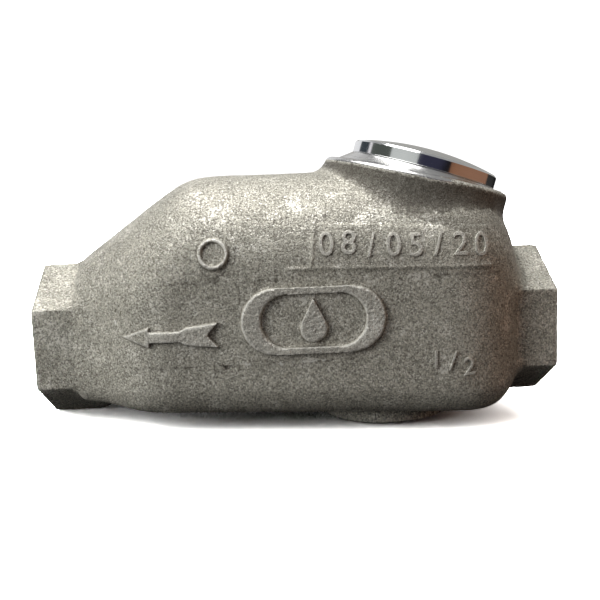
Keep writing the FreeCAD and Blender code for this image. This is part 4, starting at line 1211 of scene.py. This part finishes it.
@dataclass
class Studio:
    """The floor, the lights and the camera."""

    camera_at: Vector
    heading: float = 0.0471
    dip: float = 0.1429
    roll: float = 0.0371
    sensor: float = 36.0
    focal: float = 50.8098
    rest_near: Pair = (0.9 * MM, -22 * MM)
    rest_far: Pair = (80.5 * MM, -25.8 * MM)
    floor_reach: float = 6.0
    middle: Triple = (73 * MM, 0, 10 * MM)
    bounce: float = 0.05
    shadow_reach: float = 60 * MM
    shadow_depth: float = 1.1
    samples: int = 8
    tint_cells: float = 30
    floor_tints: tuple[Colour, Colour] = ((23, 23, 23, 1), (24, 24, 24, 1))
    glow: Row = (0.09, 0.30, 0.0, 1.2)
    backdrop: Colour = (1.2, 1.2, 1.2, 1)
    ambient: float = 0.11
    ceiling: float = 0.35
    ceiling_from: Pair = (0.50, 0.75)
    bands: tuple[tuple[float, Colour], ...] = (
        (-180, (0.85, 0.85, 0.86, 1)),
        (-141, (0.05, 0.06, 0.07, 1)),
        (-115, (0.85, 0.82, 0.84, 1)),
        (-108, (0.09, 0.10, 0.09, 1)),
        (-66, (0.62, 0.64, 0.62, 1)),
        (-21, (0.035, 0.035, 0.06, 1)),
        (37, (0.28, 0.20, 0.15, 1)),
        (104, (0.45, 0.44, 0.42, 1)),
    )

    def build_camera(self) -> None:
        """Sets the camera up as the photograph was taken."""
        ahead, dip = Vector((sin(self.heading), cos(self.heading), 0)), Vector((0, 0, -1))
        forward = ahead * cos(self.dip) + dip * sin(self.dip)
        level = Vector((cos(self.heading), -sin(self.heading), 0))
        down = forward.cross(level)
        right = cos(self.roll) * level + sin(self.roll) * down
        up = -(cos(self.roll) * down - sin(self.roll) * level)
        data = bpy.data.cameras.new("camera")
        data.lens = self.focal
        data.sensor_width = self.sensor
        camera = link("camera", data)
        turn = Matrix((right, up, -forward)).transposed().to_4x4()
        camera.matrix_world = Matrix.Translation(self.camera_at) @ turn
        bpy.context.scene.camera = camera

    def build_floor(self) -> None:
        """Lays the white floor under the two points that the part rests on; to the camera its lit colour is
        darkened by ambient occlusion near the part, a painted contact shadow on top of the lamps' own
        shadows.
        """
        run = self.rest_far[0] - self.rest_near[0]
        slope = atan2(self.rest_near[1] - self.rest_far[1], run)
        form = bmesh.new()
        bmesh.ops.create_grid(form, x_segments=1, y_segments=1, size=self.floor_reach)
        place = Matrix.Translation((self.rest_far[0], 0, self.rest_far[1])) @ Matrix.Rotation(slope, 4, "Y")
        bmesh.ops.transform(form, matrix=place, verts=form.verts)
        mesh = to_mesh("floor", form)
        material, wiring, _, coordinates = new_material("white_floor")
        tint = wiring.blend(wiring.grain(coordinates, self.tint_cells), *self.floor_tints)
        # Painted shadow: ambient occlusion darkens the floor's colour near the part.
        painted_shadow = wiring.node("AmbientOcclusion", {"Distance": self.shadow_reach}, samples=self.samples)
        depth = wiring.maths("POWER", painted_shadow.outputs["AO"], self.shadow_depth)
        shown = wiring.node("BsdfDiffuse", {"Color": wiring.blend(depth, (0, 0, 0, 1), tint)})
        bounce = wiring.node("BsdfDiffuse", {"Color": (self.bounce, self.bounce, self.bounce, 1)})
        ends = {0: coordinates, 1: (self.middle[0], 0, 0)}
        away = wiring.node("VectorMath", ends, operation="DISTANCE").outputs["Value"]
        glow = wiring.node("Emission", {"Strength": wiring.ramp(away, *self.glow)})
        lit = wiring.node("AddShader", {0: shown.outputs[0], 1: glow.outputs[0]})
        seen = wiring.node("LightPath").outputs["Is Camera Ray"]
        both = wiring.node("MixShader", {0: seen, 1: bounce.outputs[0], 2: lit.outputs[0]})
        wiring.fill(wiring.tree.nodes["Material Output"], {"Surface": both.outputs[0]})
        mesh.materials.append(material)
        link("floor", mesh)

    def add_light(
        self,
        name: str,
        place: Triple,
        size: Pair,
        power: float,
        mirrored: bool = False,
        tint: Triple = (1, 0.99, 0.97),
    ) -> None:
        """Hangs a soft rectangular light.

        Args:
            name: the light's name.
            place: its middle.
            size: its width and height.
            power: its power in watts.
            mirrored: whether bright metal shows it.
            tint: its colour.
        """
        data = bpy.data.lights.new(name, "AREA")
        data.shape = "RECTANGLE"
        data.size, data.size_y = size
        data.energy = power
        data.color = tint
        lamp = link(name, data)
        turn = (Vector(self.middle) - Vector(place)).to_track_quat("-Z", "Y").to_matrix().to_4x4()
        lamp.matrix_world = Matrix.Translation(place) @ turn
        lamp.visible_camera = False
        lamp.visible_glossy = mirrored

    def build_room(self) -> None:
        """Gives the room: white to the camera, dim for the light, and panels that bright metal mirrors."""
        world = bpy.data.worlds.new("studio")
        world.use_nodes = True
        bpy.context.scene.world = world
        wiring = Wiring(world.node_tree)
        ray = wiring.node("LightPath")
        toward = wiring.node("TexCoord").outputs["Generated"]
        way = wiring.node("SeparateXYZ", {0: toward})
        ahead = wiring.maths("MULTIPLY", way.outputs[1], -1)
        turn = wiring.maths("ARCTAN2", way.outputs[0], ahead)
        share = wiring.ramp(turn, -pi, pi)
        panels = wiring.node("ValToRGB", {0: share})
        panels.color_ramp.interpolation = "CONSTANT"
        stops = panels.color_ramp.elements
        stops.remove(stops[1])
        stops[0].color = self.bands[0][1]
        for angle, colour in self.bands[1:]:
            stops.new((angle + 180) / 360).color = colour
        high = wiring.ramp(way.outputs[2], *self.ceiling_from)
        mirrored = wiring.blend(high, panels.outputs[0], (self.ceiling, self.ceiling, self.ceiling, 1))
        dim = (self.ambient, self.ambient, self.ambient, 1)
        colour = wiring.blend(ray.outputs["Is Glossy Ray"], dim, mirrored)
        colour = wiring.blend(ray.outputs["Is Camera Ray"], colour, self.backdrop)
        wiring.fill(wiring.tree.nodes["Background"], {"Color": colour})

    def build_lights(self) -> None:
        """Lights the part from above with a large soft box, and weakly from three sides."""
        self.add_light("top_box", (0.03, 0.0, 0.62), (0.55, 0.40), 3.6, True)
        self.add_light("left_card", (-0.46, -0.34, 0.24), (0.30, 0.4), 6.6)
        self.add_light("back_card", (0.40, 0.45, 0.30), (0.30, 0.3), 0.7)
        self.add_light("copper_card", (0.25, -0.07, 0.0), (0.24, 0.07), 0.013, True, (1, 0.46, 0.24))

    def build(self) -> None:
        """Builds the whole studio."""
        self.build_camera()
        self.build_floor()
        self.build_lights()
        self.build_room()
        bpy.context.scene.view_settings.view_transform = "Standard"


def main() -> None:
    """Builds the pieces, dresses them and sets up the studio."""
    logging.basicConfig(level=logging.INFO, format="%(message)s")
    along_filler = {"origin": (FILLER.x, 0, FILLER.z), "lean": FILLER.tilt}
    along_bore = {"lean": pi / 2}
    cast_iron = CastIron().material()
    cone = TurnedMetal("turned_cone", (0.72, 0.72, 0.71, 1), 0.20, rings=3800, bump=0.15, **along_filler)
    faced = TurnedMetal(
        "faced_iron", (0.50, 0.49, 0.46, 1), 0.40, rings=3000, bump=0.2, metallic=0.55, **along_bore
    )
    rim = TurnedMetal("turned_aluminium", (0.90, 0.91, 0.92, 1), 0.10, bump=0.05, **along_filler)
    dome = TurnedMetal("ground_aluminium", (0.60, 0.61, 0.60, 1), 0.33, rings=2600, bump=0.25, **along_filler)
    casting = CastBody().build(cast_iron, cone.material(), faced.material())
    PortThread("outlet_thread", 0.8 * MM, 18 * MM).build(faced.material())
    PortThread("inlet_thread", 128 * MM, 145.2 * MM).build(faced.material())
    pad_ends = ((80.3 * MM, 26.5 * MM), (121.5 * MM, 24.6 * MM))
    CastNumbers("pad_numbers", "08/05/20", *pad_ends, 6 * MM).build(casting, cast_iron)
    bore_ends = ((108.6 * MM, -5.2 * MM), (117.6 * MM, -7.4 * MM))
    CastNumbers("bore_numbers", "1/2", *bore_ends, 4.8 * MM).build(casting, cast_iron)
    FillerPlug().build(rim.material(), dome.material())
    brass = TurnedMetal("turned_brass", (0.78, 0.57, 0.27, 1), 0.26).material()
    steel = TurnedMetal("bright_steel", (0.58, 0.58, 0.57, 1), 0.30).material()
    rubber = SealRubber().material()
    dress({"turned_brass": brass, "spring_steel": steel, "pressed_steel": steel, "seal_rubber": rubber})
    CheckCoil().build(steel)
    Studio(camera_at=Vector((62.65 * MM, -249.70 * MM, 44.09 * MM))).build()


if __name__ == "__main__":
    main()
